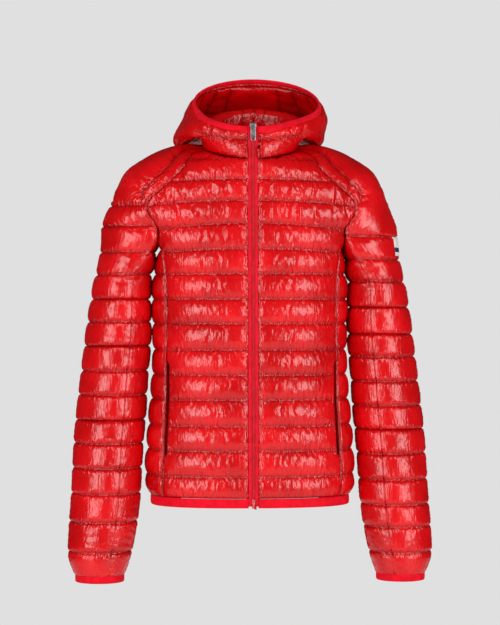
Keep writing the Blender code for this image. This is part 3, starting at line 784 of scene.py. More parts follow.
def sewPiece(piece):
    count = len(piece["points"])
    faces = piece["faces"] if piece["outward"] > 0 else piece["faces"][:, ::-1]
    backing = piece["points"] - piece["normals"] * piece["backing"]
    points = np.concatenate([piece["shape"], backing])
    allFaces = np.concatenate([faces, faces[:, ::-1] + count, rimFaces(faces, count)])
    stitches, stitchFaces = seamStitches(piece)
    total = np.concatenate([points, stitches])
    item = makeMesh(piece["name"], total, np.concatenate([allFaces, stitchFaces + 2 * count]))
    values = np.stack([piece["along"], piece["down"], piece["near"]], -1) * 0.001
    clothData(item, np.concatenate([values, values, np.zeros((len(stitches), 3))]))
    stitchSlots(item, len(allFaces))
    return item


shellItems = {piece["name"]: sewPiece(piece) for piece in cloths}
print("pieces sewn:", sum(len(i.data.polygons) for i in shellItems.values()), "faces")


def loft(rings, closedAlong=False, caps=True):
    # skin over a row of equal rings, each ring closed
    rings = np.asarray(rings, float)
    count, around = rings.shape[:2]
    index = np.arange(count * around).reshape(count, around)
    index = np.concatenate([index, index[:, :1]], axis=1)
    if closedAlong:
        index = np.concatenate([index, index[:1]], axis=0)
    faces = [tuple(f) for f in np.stack([index[:-1, :-1], index[1:, :-1], index[1:, 1:],
                                         index[:-1, 1:]], -1).reshape(-1, 4)]
    if caps and not closedAlong:
        faces.append(tuple(range(around)))
        faces.append(tuple(reversed([(count - 1) * around + k for k in range(around)])))
    return rings.reshape(-1, 3), faces


def faceOut(item):
    work = bmesh.new()
    work.from_mesh(item.data)
    bmesh.ops.recalc_face_normals(work, faces=work.faces)
    work.to_mesh(item.data)
    work.free()
    return item


def band(name, centres, outs, ups, thick, high, ripple, pitch, closed=False):
    # knitted edging folded over an edge, drawn in so that it ripples
    theta = np.linspace(0, 2 * math.pi, 18, endpoint=False)
    across = power(np.cos(theta), 0.55)
    along = power(np.sin(theta), 0.75)
    run = np.concatenate([[0], np.cumsum(np.linalg.norm(np.diff(centres, axis=0), axis=1))])
    random = np.random.default_rng(len(centres))
    drift = np.interp(run, np.arange(0, run[-1] + 40, 20), random.uniform(
        -2, 2, len(np.arange(0, run[-1] + 40, 20))))
    if closed:
        pitch = run[-1] / round(run[-1] / pitch)
        drift = 0 * drift
    wave = ripple * np.sin(2 * math.pi * run / pitch + drift)
    rings = (centres[:, None] + outs[:, None] * (thick * across + wave[:, None])[..., None]
             + ups[:, None] * (np.reshape(high, (-1, 1)) * along)[..., None])
    if closed:
        rings = rings[:-1]
    points, faces = loft(rings, closed)
    item = faceOut(makeMesh(name, points, faces))
    data = np.zeros((len(points), 3), np.float32)
    data[:, 0] = np.repeat(run[:len(rings)], len(theta)) * 0.001
    data[:, 1] = np.tile(along, len(rings)) * np.mean(high) * 0.001
    data[:, 2] = 0.01
    clothData(item, data)
    return item


def unit(vectors):
    return vectors / np.maximum(np.linalg.norm(vectors, axis=-1, keepdims=True), 1e-9)


edging = {"thick": 2.5, "ripple": 0.32, "pitch": 5.2, "hemZ": -670.8, "hemHigh": 8.6,
          "hoodHigh": 6.3, "cuffZ": -813.8, "cuffHigh": 7.6}


def sweepFrames(centres, upWay, closed=False):
    way = unit(np.gradient(centres, axis=0))
    if closed:
        way[0] = way[-1] = unit(centres[1] - centres[-2])
    ups = unit(upWay - way * (upWay * way).sum(-1, keepdims=True))
    return np.cross(way, ups), ups


z = edging["hemZ"]
half = arcRow(lambda a: bodyPoint(a, z), 0, 180, lambda length: np.linspace(9.0, length, 230))
hemLine = bothSides(half)
outs, ups = sweepFrames(hemLine, np.array([0, 0, 1.0]))
hemBinding = band("hemBinding", hemLine - outs * 1.0, outs, ups, edging["thick"],
                  edging["hemHigh"], edging["ripple"], edging["pitch"])

phi = np.linspace(0, 180, 150)
rim, below = hoodPoint(phi, 1.0), hoodPoint(phi, 0.93)
rim, below = [evenly(p, lambda length: np.linspace(8.6, length, 190)) for p in (rim, below)]
ups = unit(rim - below)
centres = rim - ups * edging["hoodHigh"]
hoodLine = bothSides(centres)
outs, ups = sweepFrames(hoodLine, bothSides(ups))
hoodBinding = band("hoodBinding", hoodLine, outs, ups, edging["thick"], edging["hoodHigh"],
                   0.22, edging["pitch"])

cuffBindings = {}
for word, side in sides:
    ring = ellipseRing(edging["cuffZ"], np.linspace(-180, 180, 141)) * [side, 1, 1]
    outs, ups = sweepFrames(ring, np.array([0, 0, 1.0]), True)
    outs = outs * side
    cuffBindings[word] = band("cuffBinding." + word, ring, outs, ups, edging["thick"],
                              edging["cuffHigh"], edging["ripple"], edging["pitch"], True)
print("edges bound")

zipper = {"pitch": 1.5, "top": 13.0, "bottom": -671.0, "reach": 3.05, "depth": (-3.7, -1.3)}
zipOut = np.array([0, -0.999413, 0.034266])


def zipPoint(x, y, z):
    # x across, y inward from the zip plane, z height
    z = np.asarray(z, float)
    base = np.stack([x + 0 * z, zipY(z), z], -1)
    return base - zipOut * np.reshape(y + 0 * z, z.shape + (1,))


def coil(word, side):
    shift = 0.0 if side > 0 else 0.5
    count = int((zipper["top"] - zipper["bottom"]) / zipper["pitch"])
    heights = zipper["top"] - (np.arange(count) + shift) * zipper["pitch"]
    near, far = zipper["depth"]
    middle, tall = (near + far) / 2, (far - near) / 2
    theta = np.linspace(0, 2 * math.pi, 8, endpoint=False)
    points, faces = [], []
    for z in heights:
        rings = []
        for x, size in ((-0.5, 0.45), (-0.2, 1.0), (2.3, 0.95), (2.9, 0.7), (3.05, 0.35)):
            ys = middle + tall * size * np.cos(theta)
            zs = z + 0.62 * size * np.sin(theta) - 0.12 * x
            rings.append(zipPoint(side * x, ys, zs))
        ring, face = loft(rings)
        first = len(points) * 40
        faces += [tuple(first + i for i in f) for f in face]
        points.append(ring)
    return faceOut(makeMesh("zipCoil." + word, np.concatenate(points), faces))


def strip(name, outline, top, bottom, side, stitchAt=(), step=4.0, place=zipPoint, outWay=None):
    # a woven tape of one cross-section with rows of stitches along it
    heights = np.arange(top, bottom - 0.01, -step)
    rings = [place(side * np.array([x for x, y in outline]),
                   np.array([y for x, y in outline]), np.full(len(outline), z))
             for z in heights]
    points, faces = loft(rings)
    faceCount = len(faces)
    outWay = zipOut if outWay is None else outWay
    for x, y in stitchAt:
        count = int((top - bottom) / stitch["pitch"])
        line = place(side * np.full(count, x), np.full(count, y),
                     top - 2 - stitch["pitch"] * np.arange(count))
        spots, blocks = stitchBlocks(line[:-1], line[1:], np.tile(outWay, (len(line) - 1, 1)))
        faces += [tuple(f) for f in blocks + len(points)]
        points = np.concatenate([points, spots])
    item = faceOut(makeMesh(name, points, faces, False))
    stitchSlots(item, faceCount)
    return item


tapeOutline = [(2.3, 0.3), (2.3, -0.7), (2.9, -1.25), (3.7, -1.3), (4.3, -0.95), (6.0, -0.85),
               (8.0, -0.5), (8.9, 0.1), (8.9, 0.6)]
flapOutline = [(-12, 10.2), (-11.6, 9.5), (0, 9.2), (11.6, 9.5), (12, 10.2), (11.4, 10.7),
               (-11.4, 10.7)]
coils, tapes = {}, {}
for word, side in sides:
    coils[word] = coil(word, side)
    tapes[word] = strip("zipTape." + word, tapeOutline, 20.0, -679.0, side,
                        ((5.4, -0.95), (6.6, -0.85)))
stormFlap = strip("stormFlap", flapOutline, 12.0, -664.0, 1, ((-10.4, 9.2), (10.4, 9.2)))


def plate(name, outline, low, high, origin, turn, bevel):
    # a flat shape in x and z given thickness along y, with rounded edges
    n = len(outline)
    points = np.array([(x, y, z) for y in (low, high) for x, z in outline])
    faces = [tuple(range(n)), tuple(range(2 * n - 1, n - 1, -1))]
    faces += [(i, (i + 1) % n, n + (i + 1) % n, n + i) for i in range(n)]
    item = faceOut(makeMesh(name, points @ turn.T + origin, faces, False))
    step = item.modifiers.new("edge", "BEVEL")
    step.width, step.segments = bevel * 0.001, 3
    return item


zipTurn = np.array([[1, 0, 0], [0, 0.999413, 0.034266], [0, -0.034266, 0.999413]])
zipOrigin = np.array([0, -100.0, 20.0])
# slider: a front plate with a round head, side walls and the bridge for the pull
slider = {"head": 5.9, "waist": 4.6, "top": 5.0, "foot": -4.6}


def sliderOutline(shrink):
    arch = [(slider["head"] * math.sin(a) * shrink, 0.6 + 4.3 * math.cos(a) * shrink)
            for a in np.linspace(-math.pi / 2, math.pi / 2, 15)]
    return arch + [(slider["head"] * shrink, -1.0), (slider["waist"] * shrink, slider["foot"]),
                   (-slider["waist"] * shrink, slider["foot"]), (-slider["head"] * shrink, -1.0)]


sliderParts = [plate("zipSlider", sliderOutline(1.0), -6.2, -4.3, zipOrigin, zipTurn, 0.45)]
for k, (x0, x1) in enumerate(((-5.9, -4.5), (4.5, 5.9))):
    wall = [(x0, -3.4), (x1, -3.4), (x1, 2.6), (x0, 2.6)]
    sliderParts.append(plate("zipSlider.wall" + "ab"[k], wall, -4.6, -1.4, zipOrigin, zipTurn,
                             0.3))
theta = np.linspace(0, 2 * math.pi, 12, endpoint=False)
bridge = []
for t in np.linspace(0, 1, 15):
    y, z = -5.2 - 4.3 * math.sin(math.pi * t) ** 0.7, 4.2 - 6.2 * t
    lean = math.pi * (t - 0.5)
    out = np.array([0, -math.cos(lean), -math.sin(lean) * 0.8])
    ring = [np.array([0, y, z]) + np.array([1.5 * math.cos(a), 0, 0]) + out * 0.65 * math.sin(a)
            for a in theta]
    bridge.append(np.array(ring) @ zipTurn.T + zipOrigin)
points, faces = loft(bridge)
sliderParts.append(faceOut(makeMesh("zipSlider.bridge", points, faces)))

# raised rim round the pull
pullOrigin = zipOrigin + zipTurn @ np.array([0, -8.1, 1.5])
pullRim = {"half": 4.05, "top": 1.0, "bottom": -30.3, "corner": 1.5, "wire": 0.42}


def roundedLine(half, bottom, top, corner, count=8):
    line = []
    for cx, cz, start in ((half - corner, top - corner, 0), (-half + corner, top - corner, 90),
                          (-half + corner, bottom + corner, 180),
                          (half - corner, bottom + corner, 270)):
        for a in np.radians(start + np.linspace(0, 90, count)):
            line.append((cx + corner * math.cos(a), cz + corner * math.sin(a)))
    return np.array(line)


rimParts = []
for k, (y, line) in enumerate((
        (-0.85, roundedLine(pullRim["half"], pullRim["bottom"], pullRim["top"],
                            pullRim["corner"])),
        (-0.85, roundedLine(1.75, -11.15, -7.65, 1.7)),
        (-0.85, roundedLine(3.3, -29.7, -26.1, 1.2)))):
    spots = np.stack([line[:, 0], np.full(len(line), y), line[:, 1]], -1)
    out, up = sweepFrames(np.concatenate([spots, spots[:1]]), np.array([0, -1.0, 0]), True)
    rings = (spots[:, None] + pullRim["wire"] * (np.cos(theta)[None, :, None] * out[:-1, None]
             + np.sin(theta)[None, :, None] * up[:-1, None]))
    points, faces = loft(rings @ zipTurn.T + pullOrigin, True)
    rimParts.append(faceOut(makeMesh("zipPull.rim" + "abc"[k], points, faces)))
print("zip made")

# pocket zips, sunk behind the slits
seamZ = (-408.0, -592.0)
spots = [bodyPoint(sideAngle(spline(jacket["frontSeam"], z), z), z) for z in seamZ]
pocketUp = unit(spots[0] - spots[1])
middleZ = sum(seamZ) / 2
angle = sideAngle(spline(jacket["frontSeam"], middleZ), middleZ)
pocketAcross = unit(bodyPoint(angle + 1, middleZ) - bodyPoint(angle - 1, middleZ))
pocketOut = unit(np.cross(pocketAcross, pocketUp))
pocketAcross = unit(np.cross(pocketUp, pocketOut))
pocketLength = float(np.linalg.norm(spots[0] - spots[1]))


def pocketPlace(side):
    def place(x, y, z):
        x, y, z = np.broadcast_arrays(np.asarray(x, float) * side - 4.6, np.asarray(y) + 10.6, z)
        points = (spots[0] + x[..., None] * pocketAcross - y[..., None] * pocketOut
                  + z[..., None] * pocketUp)
        return points * [side, 1, 1]
    return place


pocketTape = [(-6, 1.8), (-2.6, 1.6), (-2.3, 0.9), (2.3, 0.9), (2.6, 1.6), (6, 1.8), (6, 2.7),
              (-6, 2.7)]
pocketZips = {}
for word, side in sides:
    place = pocketPlace(side)
    tape = strip("pocketZip." + word, pocketTape, 8.0, -pocketLength - 8, side,
                 ((-4.4, 1.7), (4.4, 1.7)), 6.0, place, pocketOut * [side, 1, 1])
    rings = []
    for k, z in enumerate(np.arange(2.0, -pocketLength - 2, -0.42)):
        size = 1.0 - 0.16 * (k % 3 == 0)
        rings.append(place(side * 2.2 * size * np.cos(theta),
                           0.75 + 0.75 * size * np.sin(theta), z))
    points, faces = loft(rings)
    pocketZips[word] = (tape, faceOut(makeMesh("pocketCoil." + word, points, faces)))

# neck tape and hanger loop
rows = []
for drop in np.linspace(3, -14.5, 9):
    p = neckLine(np.linspace(112, 248, 61))
    rows.append(np.stack([p[:, 0] * 0.865, -7.5 + (p[:, 1] + 7.5) * 0.865, p[:, 2] + drop], -1))
tape = np.array(rows)
faces = gridFaces(*tape.shape[:2])
normals = pointNormals(tape.reshape(-1, 3), faces)
count = tape.size // 3
neckTape = faceOut(makeMesh("neckTape", np.concatenate(
    [tape.reshape(-1, 3) + normals * 0.6, tape.reshape(-1, 3) - normals * 0.6]),
    np.concatenate([faces, faces[:, ::-1] + count, rimFaces(faces, count)])))

loop = {"wire": 1.05, "strands": 3, "turns": 13, "offset": 0.75}
path = np.array([(-34, 0), (-33.6, -5), (-31, -9.5), (-26, -12.5), (-18, -14), (0, -14.6),
                 (18, -14), (26, -12.5), (31, -9.5), (33.6, -5), (34, 0)], float)
path = np.concatenate([path + (0, loopY + 5), np.full((len(path), 1), -3.0)], 1)
path = evenly(path, lambda length: np.linspace(0, length, 170))
for _ in range(8):
    path[1:-1] = (path[:-2] + path[1:-1] * 2 + path[2:]) / 4
outs, ups = sweepFrames(path, np.array([0, 0, 1.0]))
points, faces = np.zeros((0, 3)), []
for strand in range(loop["strands"]):
    turn = 2 * math.pi * (np.linspace(0, loop["turns"], len(path)) + strand / loop["strands"])
    middle = path + loop["offset"] * (outs * np.cos(turn)[:, None] + ups * np.sin(turn)[:, None])
    section = np.linspace(0, 2 * math.pi, 7, endpoint=False)
    rings = middle[:, None] + loop["wire"] * (
        outs[:, None] * np.cos(section)[None, :, None] + ups[:, None]
        * np.sin(section)[None, :, None])
    spot, face = loft(rings)
    faces += [tuple(len(points) + i for i in f) for f in face]
    points = np.concatenate([points, spot])
hangerLoop = faceOut(makeMesh("hangerLoop", points, faces))

# patch, laid over the fabric it is sewn to
patch = {"angles": (54, 84), "top": -182.0, "bottom": -217.0, "cells": (15, 17), "lift": 0.7,
         "thick": 0.9, "band": (0.56, 0.80), "bandColour": (0.012, 0.020, 0.075, 1)}


def surfaceTree(item):
    return BVHTree.FromPolygons([v.co.copy() for v in item.data.vertices],
                                [tuple(p.vertices) for p in item.data.polygons])


def layPatch(item):
    tree = surfaceTree(item)
    across, down = patch["cells"]
    spots = []
    for z in np.linspace(patch["top"], patch["bottom"], down + 1):
        for point in ellipseRing(z, np.linspace(*patch["angles"], across + 1)):
            centre = spline(jacket["sleeve"], z)
            way = unit(np.array([(point[0] - centre[0]) / centre[2] ** 2,
                                 (point[1] - centre[1]) / centre[3] ** 2, 0]))
            start, ray = toRow(point + way * 25), Vector(-way)
            hit = tree.ray_cast(Vector(start), ray, 0.05)
            spots.append(hit[0] if hit[0] else Vector(toRow(point + way * 4)))
    grid = np.array(spots).reshape(down + 1, across + 1, 3)
    for _ in range(12):
        soft = grid.copy()
        soft[1:-1] = (grid[:-2] + 2 * grid[1:-1] + grid[2:]) / 4
        soft[:, 1:-1] = (soft[:, :-2] + 2 * soft[:, 1:-1] + soft[:, 2:]) / 4
        grid = soft
    faces = gridFaces(down + 1, across + 1)
    points = grid.reshape(-1, 3) * 1000 + (0, loopY, 0)
    normals = pointNormals(points, faces)
    top = points + normals * (patch["lift"] + patch["thick"])
    under = points - normals * 1.0
    count = len(points)
    made = makeMesh("sleevePatch", np.concatenate([top, under]),
                    np.concatenate([faces, faces[:, ::-1] + count, rimFaces(faces, count)]))
    v, u = np.meshgrid(np.linspace(0, 1, down + 1), np.linspace(0, 1, across + 1), indexing="ij")
    data = np.stack([u.ravel(), v.ravel(), 0 * u.ravel()], -1)
    clothData(made, np.concatenate([data, data]))
    return made


sleevePatch = layPatch(shellItems["shoulder.left"])
print("trims made")


# finishes
def newGroup(name, inputs, outputs):
    tree = bpy.data.node_groups.new(name, "ShaderNodeTree")
    for label, value in inputs:
        socket = tree.interface.new_socket(label, in_out="INPUT", socket_type="NodeSocketFloat")
        socket.default_value = value
    for label in outputs:
        tree.interface.new_socket(label, in_out="OUTPUT", socket_type="NodeSocketFloat")
    return tree, tree.nodes.new("NodeGroupInput"), tree.nodes.new("NodeGroupOutput")


def node(tree, kind, links=(), **values):
    made = tree.nodes.new("ShaderNode" + kind)
    for key, value in values.items():
        setattr(made, key, value)
    for socket, source in links:
        if hasattr(source, "is_linked") or hasattr(source, "links"):
            tree.links.new(source, made.inputs[socket])
        else:
            made.inputs[socket].default_value = source
    return made


def sums(tree, how, a, b, c=None):
    return node(tree, "Math", [(0, a), (1, b)] + ([(2, c)] if c is not None else []),
                operation=how).outputs[0]


def noiseAt(tree, vector, scale, detail=2.0, rough=0.5, twist=0.0):
    return node(tree, "TexNoise", [("Vector", vector), ("Scale", scale), ("Detail", detail),
                                   ("Roughness", rough), ("Distortion", twist)]).outputs["Fac"]


gather = {"reach": 0.015, "least": 0.18, "along": 150.0, "down": 34.0, "tall": 3.0,
          "crumple": 130.0, "weave": 2600.0, "tone": 16.0}


def gatherGroup():
    # folds that run out from each seam, crumple everywhere and a fine weave, in millimetres
    tree, into, out = newGroup("gathers", [("Folds", 1.0), ("Crumple", 1.0), ("Weave", 0.03)],
                               ["Height", "Seam", "Tone"])
    cloth = node(tree, "Attribute", attribute_name="cloth").outputs["Vector"]
    split = node(tree, "SeparateXYZ", [(0, cloth)])
    spot = node(tree, "TexCoord").outputs["Object"]
    near = node(tree, "MapRange", [("Value", split.outputs[2]), ("From Min", 0.0),
                                   ("From Max", gather["reach"]), ("To Min", 1.0),
                                   ("To Max", gather["least"])],
                interpolation_type="SMOOTHERSTEP").outputs[0]
    drawn = node(tree, "CombineXYZ", [
        (0, sums(tree, "MULTIPLY", split.outputs[0], gather["along"])),
        (1, sums(tree, "MULTIPLY", split.outputs[1], gather["down"])), (2, 0.0)]).outputs[0]
    fold = noiseAt(tree, drawn, 1.0, 1.5, 0.5, 0.6)
    ridge = sums(tree, "ABSOLUTE", sums(tree, "SUBTRACT", fold, 0.5), 0.0)
    folds = sums(tree, "MULTIPLY", sums(tree, "MULTIPLY", ridge, near), into.outputs["Folds"])
    rough = sums(tree, "MULTIPLY", noiseAt(tree, spot, gather["crumple"], 2.5, 0.55, 1.2),
                 into.outputs["Crumple"])
    weave = sums(tree, "MULTIPLY", noiseAt(tree, spot, gather["weave"], 1.0),
                 into.outputs["Weave"])
    height = sums(tree, "ADD", sums(tree, "MULTIPLY_ADD", folds, gather["tall"], rough), weave)
    tree.links.new(height, out.inputs["Height"])
    # nearness to a seam, used by the finishes for the painted shade in the seam valleys
    tree.links.new(near, out.inputs["Seam"])
    tree.links.new(noiseAt(tree, spot, gather["tone"], 3.0), out.inputs["Tone"])
    return tree


def ribGroup():
    # knitted or woven ribs across a band, with fuzz
    tree, into, out = newGroup("ribs", [("Across", 900.0), ("Along", 900.0), ("Fuzz", 0.4)],
                               ["Height", "Tone"])
    spot = node(tree, "TexCoord").outputs["Object"]
    split = node(tree, "SeparateXYZ", [(0, spot)])
    high = sums(tree, "SINE", sums(tree, "MULTIPLY", split.outputs[2], into.outputs["Along"]), 0.0)
    flat = sums(tree, "ADD", split.outputs[0], split.outputs[1])
    wide = sums(tree, "SINE", sums(tree, "MULTIPLY", flat, into.outputs["Across"]), 0.0)
    fuzz = sums(tree, "MULTIPLY", noiseAt(tree, spot, 1500.0, 2.0), into.outputs["Fuzz"])
    woven = sums(tree, "MULTIPLY", sums(tree, "ADD", high, wide), 0.1)
    tree.links.new(sums(tree, "ADD", woven, fuzz), out.inputs["Height"])
    tree.links.new(noiseAt(tree, spot, 90.0, 3.0), out.inputs["Tone"])
    return tree


def wearGroup():
    # scratches and smudges on metal and lacquer
    tree, into, out = newGroup("wear", [("Size", 400.0), ("Stretch", 8.0)], ["Height", "Tone"])
    spot = node(tree, "TexCoord").outputs["Object"]
    split = node(tree, "SeparateXYZ", [(0, spot)])
    drawn = node(tree, "CombineXYZ", [(0, split.outputs[0]), (1, split.outputs[1]), (2, sums(
        tree, "DIVIDE", split.outputs[2], into.outputs["Stretch"]))]).outputs[0]
    fine = node(tree, "TexNoise", [("Vector", drawn), ("Scale", into.outputs["Size"]),
                                   ("Detail", 4.0)]).outputs["Fac"]
    tree.links.new(fine, out.inputs["Height"])
    tree.links.new(noiseAt(tree, spot, 120.0, 3.0), out.inputs["Tone"])
    return tree


groups = {"gathers": gatherGroup(), "ribs": ribGroup(), "wear": wearGroup()}

finishes = {
    "nylon": {"group": "gathers", "values": (2.2, 0.26, 0.015), "dark": (0.50, 0.0006, 0.0020),
              "light": (0.68, 0.0012, 0.0040), "rough": (0.17, 0.29), "bump": 0.9, "metal": 0.0},
    "lining": {"group": "gathers", "values": (0.9, 0.9, 0.015), "dark": (0.52, 0.0006, 0.002),
               "light": (0.72, 0.001, 0.003), "rough": (0.15, 0.26), "bump": 0.9, "metal": 0.0},
    "thread": {"group": "ribs", "values": (4000, 4000, 0.3), "dark": (0.36, 0.0006, 0.002),
               "light": (0.56, 0.0012, 0.004), "rough": (0.5, 0.7), "bump": 0.4, "metal": 0.0,
               "shine": 0.15},
    "knit": {"group": "ribs", "values": (3800, 3800, 0.25), "dark": (0.62, 0.001, 0.009),
             "light": (0.82, 0.002, 0.018), "rough": (0.72, 0.9), "bump": 0.5, "metal": 0.0,
             "shine": 0.15},
    "tape": {"group": "ribs", "values": (5200, 5200, 0.3), "dark": (0.60, 0.0015, 0.011),
             "light": (0.80, 0.003, 0.024), "rough": (0.6, 0.8), "bump": 0.5, "metal": 0.0,
             "shine": 0.2},
    "coil": {"group": "wear", "values": (900, 2.0), "dark": (0.54, 0.002, 0.010),
             "light": (0.74, 0.004, 0.020), "rough": (0.34, 0.5), "bump": 0.1, "metal": 0.0},
    "lacquer": {"group": "wear", "values": (700, 2.0), "dark": (0.42, 0.002, 0.008),
                "light": (0.60, 0.004, 0.014), "rough": (0.22, 0.36), "bump": 0.08,
                "metal": 0.0},
    "metal": {"group": "wear", "values": (1500, 10.0), "dark": (0.26, 0.26, 0.27),
              "light": (0.60, 0.60, 0.62), "rough": (0.22, 0.42), "bump": 0.12, "metal": 1.0},
    "loop": {"group": "ribs", "values": (5200, 5200, 0.35), "dark": (0.012, 0.012, 0.014),
             "light": (0.05, 0.05, 0.055), "rough": (0.7, 0.9), "bump": 0.5, "metal": 0.0},
}


def makeFinish(name, settings):
    made = bpy.data.materials.new(name)
    made.use_nodes = True
    tree = made.node_tree
    shader = tree.nodes["Principled BSDF"]
    effect = tree.nodes.new("ShaderNodeGroup")
    effect.node_tree = groups[settings["group"]]
    for socket, value in zip(effect.inputs, settings["values"]):
        socket.default_value = value
    colour = node(tree, "Mix", data_type="RGBA")
    colour.inputs["A"].default_value = (*settings["dark"], 1)
    colour.inputs["B"].default_value = (*settings["light"], 1)
    stretch = node(tree, "MapRange", [("Value", effect.outputs["Tone"]), ("From Min", 0.35),
                                      ("From Max", 0.65)])
    tree.links.new(stretch.outputs[0], colour.inputs["Factor"])
    base = colour.outputs["Result"]
    # painted shade: the colour is multiplied darker in the sunken valleys beside each seam, where
    # the puffs shade them
    if "Seam" in effect.outputs:
        deep = node(tree, "Mix", data_type="RGBA", blend_type="MULTIPLY")
        tree.links.new(base, deep.inputs["A"])
        deep.inputs["B"].default_value = (0.72, 0.6, 0.6, 1)
        edge = node(tree, "MapRange", [("Value", effect.outputs["Seam"]), ("From Min", 0.80),
                                       ("From Max", 1.0)])
        tree.links.new(edge.outputs[0], deep.inputs["Factor"])
        base = deep.outputs["Result"]
    rough = node(tree, "MapRange", [("Value", effect.outputs["Tone"]),
                                    ("To Min", settings["rough"][0]),
                                    ("To Max", settings["rough"][1])])
    bump = node(tree, "Bump", [("Strength", settings["bump"]), ("Distance", 0.001),
                               ("Height", effect.outputs["Height"])])
    tree.links.new(base, shader.inputs["Base Color"])
    tree.links.new(rough.outputs[0], shader.inputs["Roughness"])
    tree.links.new(bump.outputs[0], shader.inputs["Normal"])
    shader.inputs["Metallic"].default_value = settings["metal"]
    shader.inputs["Specular IOR Level"].default_value = settings.get("shine", 0.5)
    return made


looks = {name: makeFinish(name, settings) for name, settings in finishes.items()}


def patchFinish():
    # pale woven label with a plain dark band
    made = makeFinish("label", {"group": "ribs", "values": (4200, 4200, 0.3), "metal": 0.0,
                                "dark": (0.62, 0.61, 0.58), "light": (0.82, 0.81, 0.78),
                                "rough": (0.55, 0.75), "bump": 0.5})
    tree = made.node_tree
    split = node(tree, "SeparateXYZ", [(0, node(tree, "Attribute", attribute_name="cloth")
                                        .outputs["Vector"])])
    shader = tree.nodes["Principled BSDF"]
    base = shader.inputs["Base Color"].links[0].from_socket
    over = sums(tree, "GREATER_THAN", split.outputs[1], patch["band"][0])
    under = sums(tree, "LESS_THAN", split.outputs[1], patch["band"][1])
    mix = node(tree, "Mix", data_type="RGBA")
    tree.links.new(sums(tree, "MULTIPLY", over, under), mix.inputs["Factor"])
    tree.links.new(base, mix.inputs["A"])
    mix.inputs["B"].default_value = patch["bandColour"]
    tree.links.new(mix.outputs["Result"], shader.inputs["Base Color"])
    return made


looks["label"] = patchFinish()
print("finishes made")


def dress(item, *names):
    item.data.materials.clear()
    for name in names:
        item.data.materials.append(looks[name])


for piece in cloths:
    dress(shellItems[piece["name"]], "nylon" if piece["look"] == "shell" else "lining", "thread")
for item in [hemBinding, hoodBinding, *cuffBindings.values()]:
    dress(item, "knit")
for item in [*tapes.values(), *[pair[0] for pair in pocketZips.values()]]:
    dress(item, "tape", "thread")
for item in [*coils.values(), *[pair[1] for pair in pocketZips.values()]]:
    dress(item, "coil")
dress(stormFlap, "lining", "thread")
for item in sliderParts + rimParts:
    dress(item, "metal")
dress(neckTape, "loop")
dress(hangerLoop, "loop")
dress(sleevePatch, "label")
kept = {"zip_pull": "metal", "top_stop_left": "coil", "top_stop_right": "coil",
        "insertion_pin": "lacquer", "retainer_box": "lacquer", "pocket_slider_left": "lacquer",
        "pocket_slider_right": "lacquer", "pocket_pull_left": "lacquer",
        "pocket_pull_right": "lacquer"}
for name, look in kept.items():
    for slot in nodes[name].material_slots:
        slot.material = looks[look]

# what each piece moves with and stands for
stands = {"backPanel": ["back_panel"], "hoodCentre": ["hood_centre"],
          "hoodLining": ["hood_lining"], "yokeLining": ["yoke_lining"],
          "bodyLining": ["body_lining"]}
riders = {}
for word in ("left", "right"):
    stands.update({"frontPanel." + word: ["front_panel_" + word],
                   "sidePanel." + word: ["side_panel_" + word],
                   "shoulder." + word: ["sleeve_head_" + word, "armhole_" + word],
                   "upperSleeve." + word: ["upper_sleeve_" + word],
                   "elbow." + word: ["elbow_" + word], "forearm." + word: ["forearm_" + word],
                   "hoodSide." + word: ["hood_side_" + word],
                   "upperLining." + word: ["upper_sleeve_lining_" + word],
                   "forearmLining." + word: ["forearm_lining_" + word],
                   "pocketBag." + word: ["pocket_bag_" + word]})
    for name in ("upperSleeve.", "upperLining."):
        riders[name + word] = "upper_sleeve_" + word
    for name in ("forearm.", "forearmLining."):
        riders[name + word] = "forearm_" + word


def blendShoulder(item, word):
    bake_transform(item)


for piece in cloths:
    name = piece["name"]
    item, word = shellItems[name], name.split(".")[-1]
    if name.startswith("shoulder"):
        blendShoulder(item, word)
    elif name.startswith("elbow"):
        side = 1 if word == "left" else -1
        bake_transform(item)
    else:
        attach(item, riders.get(name, "jacket_body"))
    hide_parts(*stands[name])


def fit(item, body, stands=(), slot=None):
    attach(item, body)
    if stands:
        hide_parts(*stands)
    slot or stands[0]


fit(hemBinding, "jacket_body", ["hem_binding"])
fit(hoodBinding, "jacket_body", ["hood_binding"])
fit(neckTape, "jacket_body", ["neck_tape"])
fit(hangerLoop, "jacket_body", ["hanger_loop"])
fit(stormFlap, "jacket_body", ["storm_flap"])
for word in ("left", "right"):
    fit(cuffBindings[word], "forearm_" + word, ["cuff_binding_" + word])
    fit(tapes[word], "jacket_body", ["zip_tape_" + word])
    fit(coils[word], "jacket_body", ["zip_chain_" + word])
    fit(pocketZips[word][0], "jacket_body", ["pocket_zip_" + word])
    fit(pocketZips[word][1], "jacket_body", slot="pocket_zip_" + word)
fit(sliderParts[0], "zip_slider", ["zip_slider"])
for item in sliderParts[1:]:
    fit(item, "zip_slider", slot="zip_slider")
for item in rimParts:
    fit(item, "zip_pull", slot="zip_pull")
blendShoulder(sleevePatch, "left")
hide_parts("sleeve_patch")
print("pieces placed")

# plain studio
studio = {"floorZ": -1.55, "floorSize": 3.2, "pale": 0.745, "mirrored": 0.03, "soft": 0.42,
          "lamps": [((-1.75, -2.45, -0.05), 54.0, True), ((1.75, -2.45, -0.05), 54.0, True),
                    ((-1.5, 2.4, 0.2), 34.0, False), ((1.5, 2.4, 0.2), 34.0, False)],
          "softbox": (1.25, 2.1), "glow": 0.45,
          "aim": (0.0, -0.05, -0.33)}


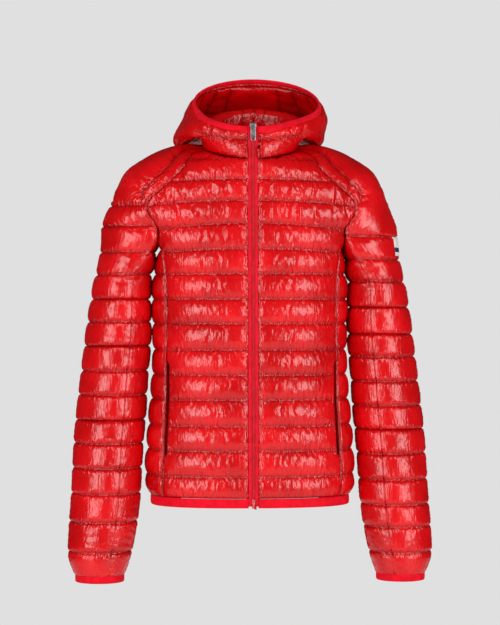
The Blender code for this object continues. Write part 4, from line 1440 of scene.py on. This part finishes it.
def addFloor():
    size, z = studio["floorSize"], studio["floorZ"]
    mesh = bpy.data.meshes.new("floor")
    turn = [2 * math.pi * k / 64 for k in range(64)]
    mesh.from_pydata([(size * math.cos(a), size * math.sin(a), z) for a in turn], [],
                     [tuple(range(64))])
    item = bpy.data.objects.new("floor", mesh)
    bpy.context.scene.collection.objects.link(item)
    paint = bpy.data.materials.new("floorPaint")
    paint.use_nodes = True
    shader = paint.node_tree.nodes["Principled BSDF"]
    shader.inputs["Base Color"].default_value = (studio["pale"],) * 3 + (1,)
    shader.inputs["Roughness"].default_value = 0.9
    shader.inputs["Specular IOR Level"].default_value = 0.0
    shader.inputs["Emission Color"].default_value = (studio["pale"],) * 3 + (1,)
    path = paint.node_tree.nodes.new("ShaderNodeLightPath")
    glow = paint.node_tree.nodes.new("ShaderNodeMapRange")
    glow.inputs["To Max"].default_value = studio["glow"]
    paint.node_tree.links.new(path.outputs["Is Camera Ray"], glow.inputs["Value"])
    paint.node_tree.links.new(glow.outputs[0], shader.inputs["Emission Strength"])
    mesh.materials.append(paint)


def addLamps():
    for place, power, mirrored in studio["lamps"]:
        lamp = bpy.data.lights.new("softbox", "AREA")
        lamp.shape, lamp.energy = "RECTANGLE", power
        lamp.size, lamp.size_y = studio["softbox"]
        item = bpy.data.objects.new("softbox", lamp)
        item.location = place
        item.rotation_euler = (Vector(studio["aim"]) - Vector(place)).to_track_quat(
            "-Z", "Y").to_euler()
        item.visible_camera = False
        item.visible_glossy = mirrored
        bpy.context.scene.collection.objects.link(item)


def setWorld():
    world = bpy.data.worlds.new("studio")
    bpy.context.scene.world = world
    world.use_nodes = True
    tree = world.node_tree
    shade = tree.nodes["Background"]
    shade.inputs["Color"].default_value = (studio["pale"],) * 3 + (1,)
    path = tree.nodes.new("ShaderNodeLightPath")
    level = None
    for ray, strength in (("Is Diffuse Ray", studio["soft"]), ("Is Camera Ray", 1.0)):
        step = tree.nodes.new("ShaderNodeMapRange")
        step.inputs["To Min"].default_value = studio["mirrored"]
        step.inputs["To Max"].default_value = strength
        tree.links.new(path.outputs[ray], step.inputs["Value"])
        if level:
            tree.links.new(level.outputs[0], step.inputs["To Min"])
        level = step
    tree.links.new(level.outputs[0], shade.inputs["Strength"])


addFloor()
addLamps()
setWorld()
view = {"target": (-0.003, -0.118, -0.323), "distance": 3.75, "yaw": 3.3, "high": 1.156}
camera = bpy.data.cameras.new("camera")
camera.sensor_width = 36.0
camera.lens = 36.0 * view["distance"] / view["high"]
cameraItem = bpy.data.objects.new("camera", camera)
yaw = math.radians(view["yaw"])
cameraItem.location = (view["target"][0] - view["distance"] * math.sin(yaw),
                       view["target"][1] - view["distance"] * math.cos(yaw), view["target"][2])
cameraItem.rotation_euler = (math.pi / 2, 0, -yaw)
bpy.context.scene.collection.objects.link(cameraItem)
bpy.context.scene.camera = cameraItem
bpy.context.scene.view_settings.view_transform = "Standard"

print("scene ready")
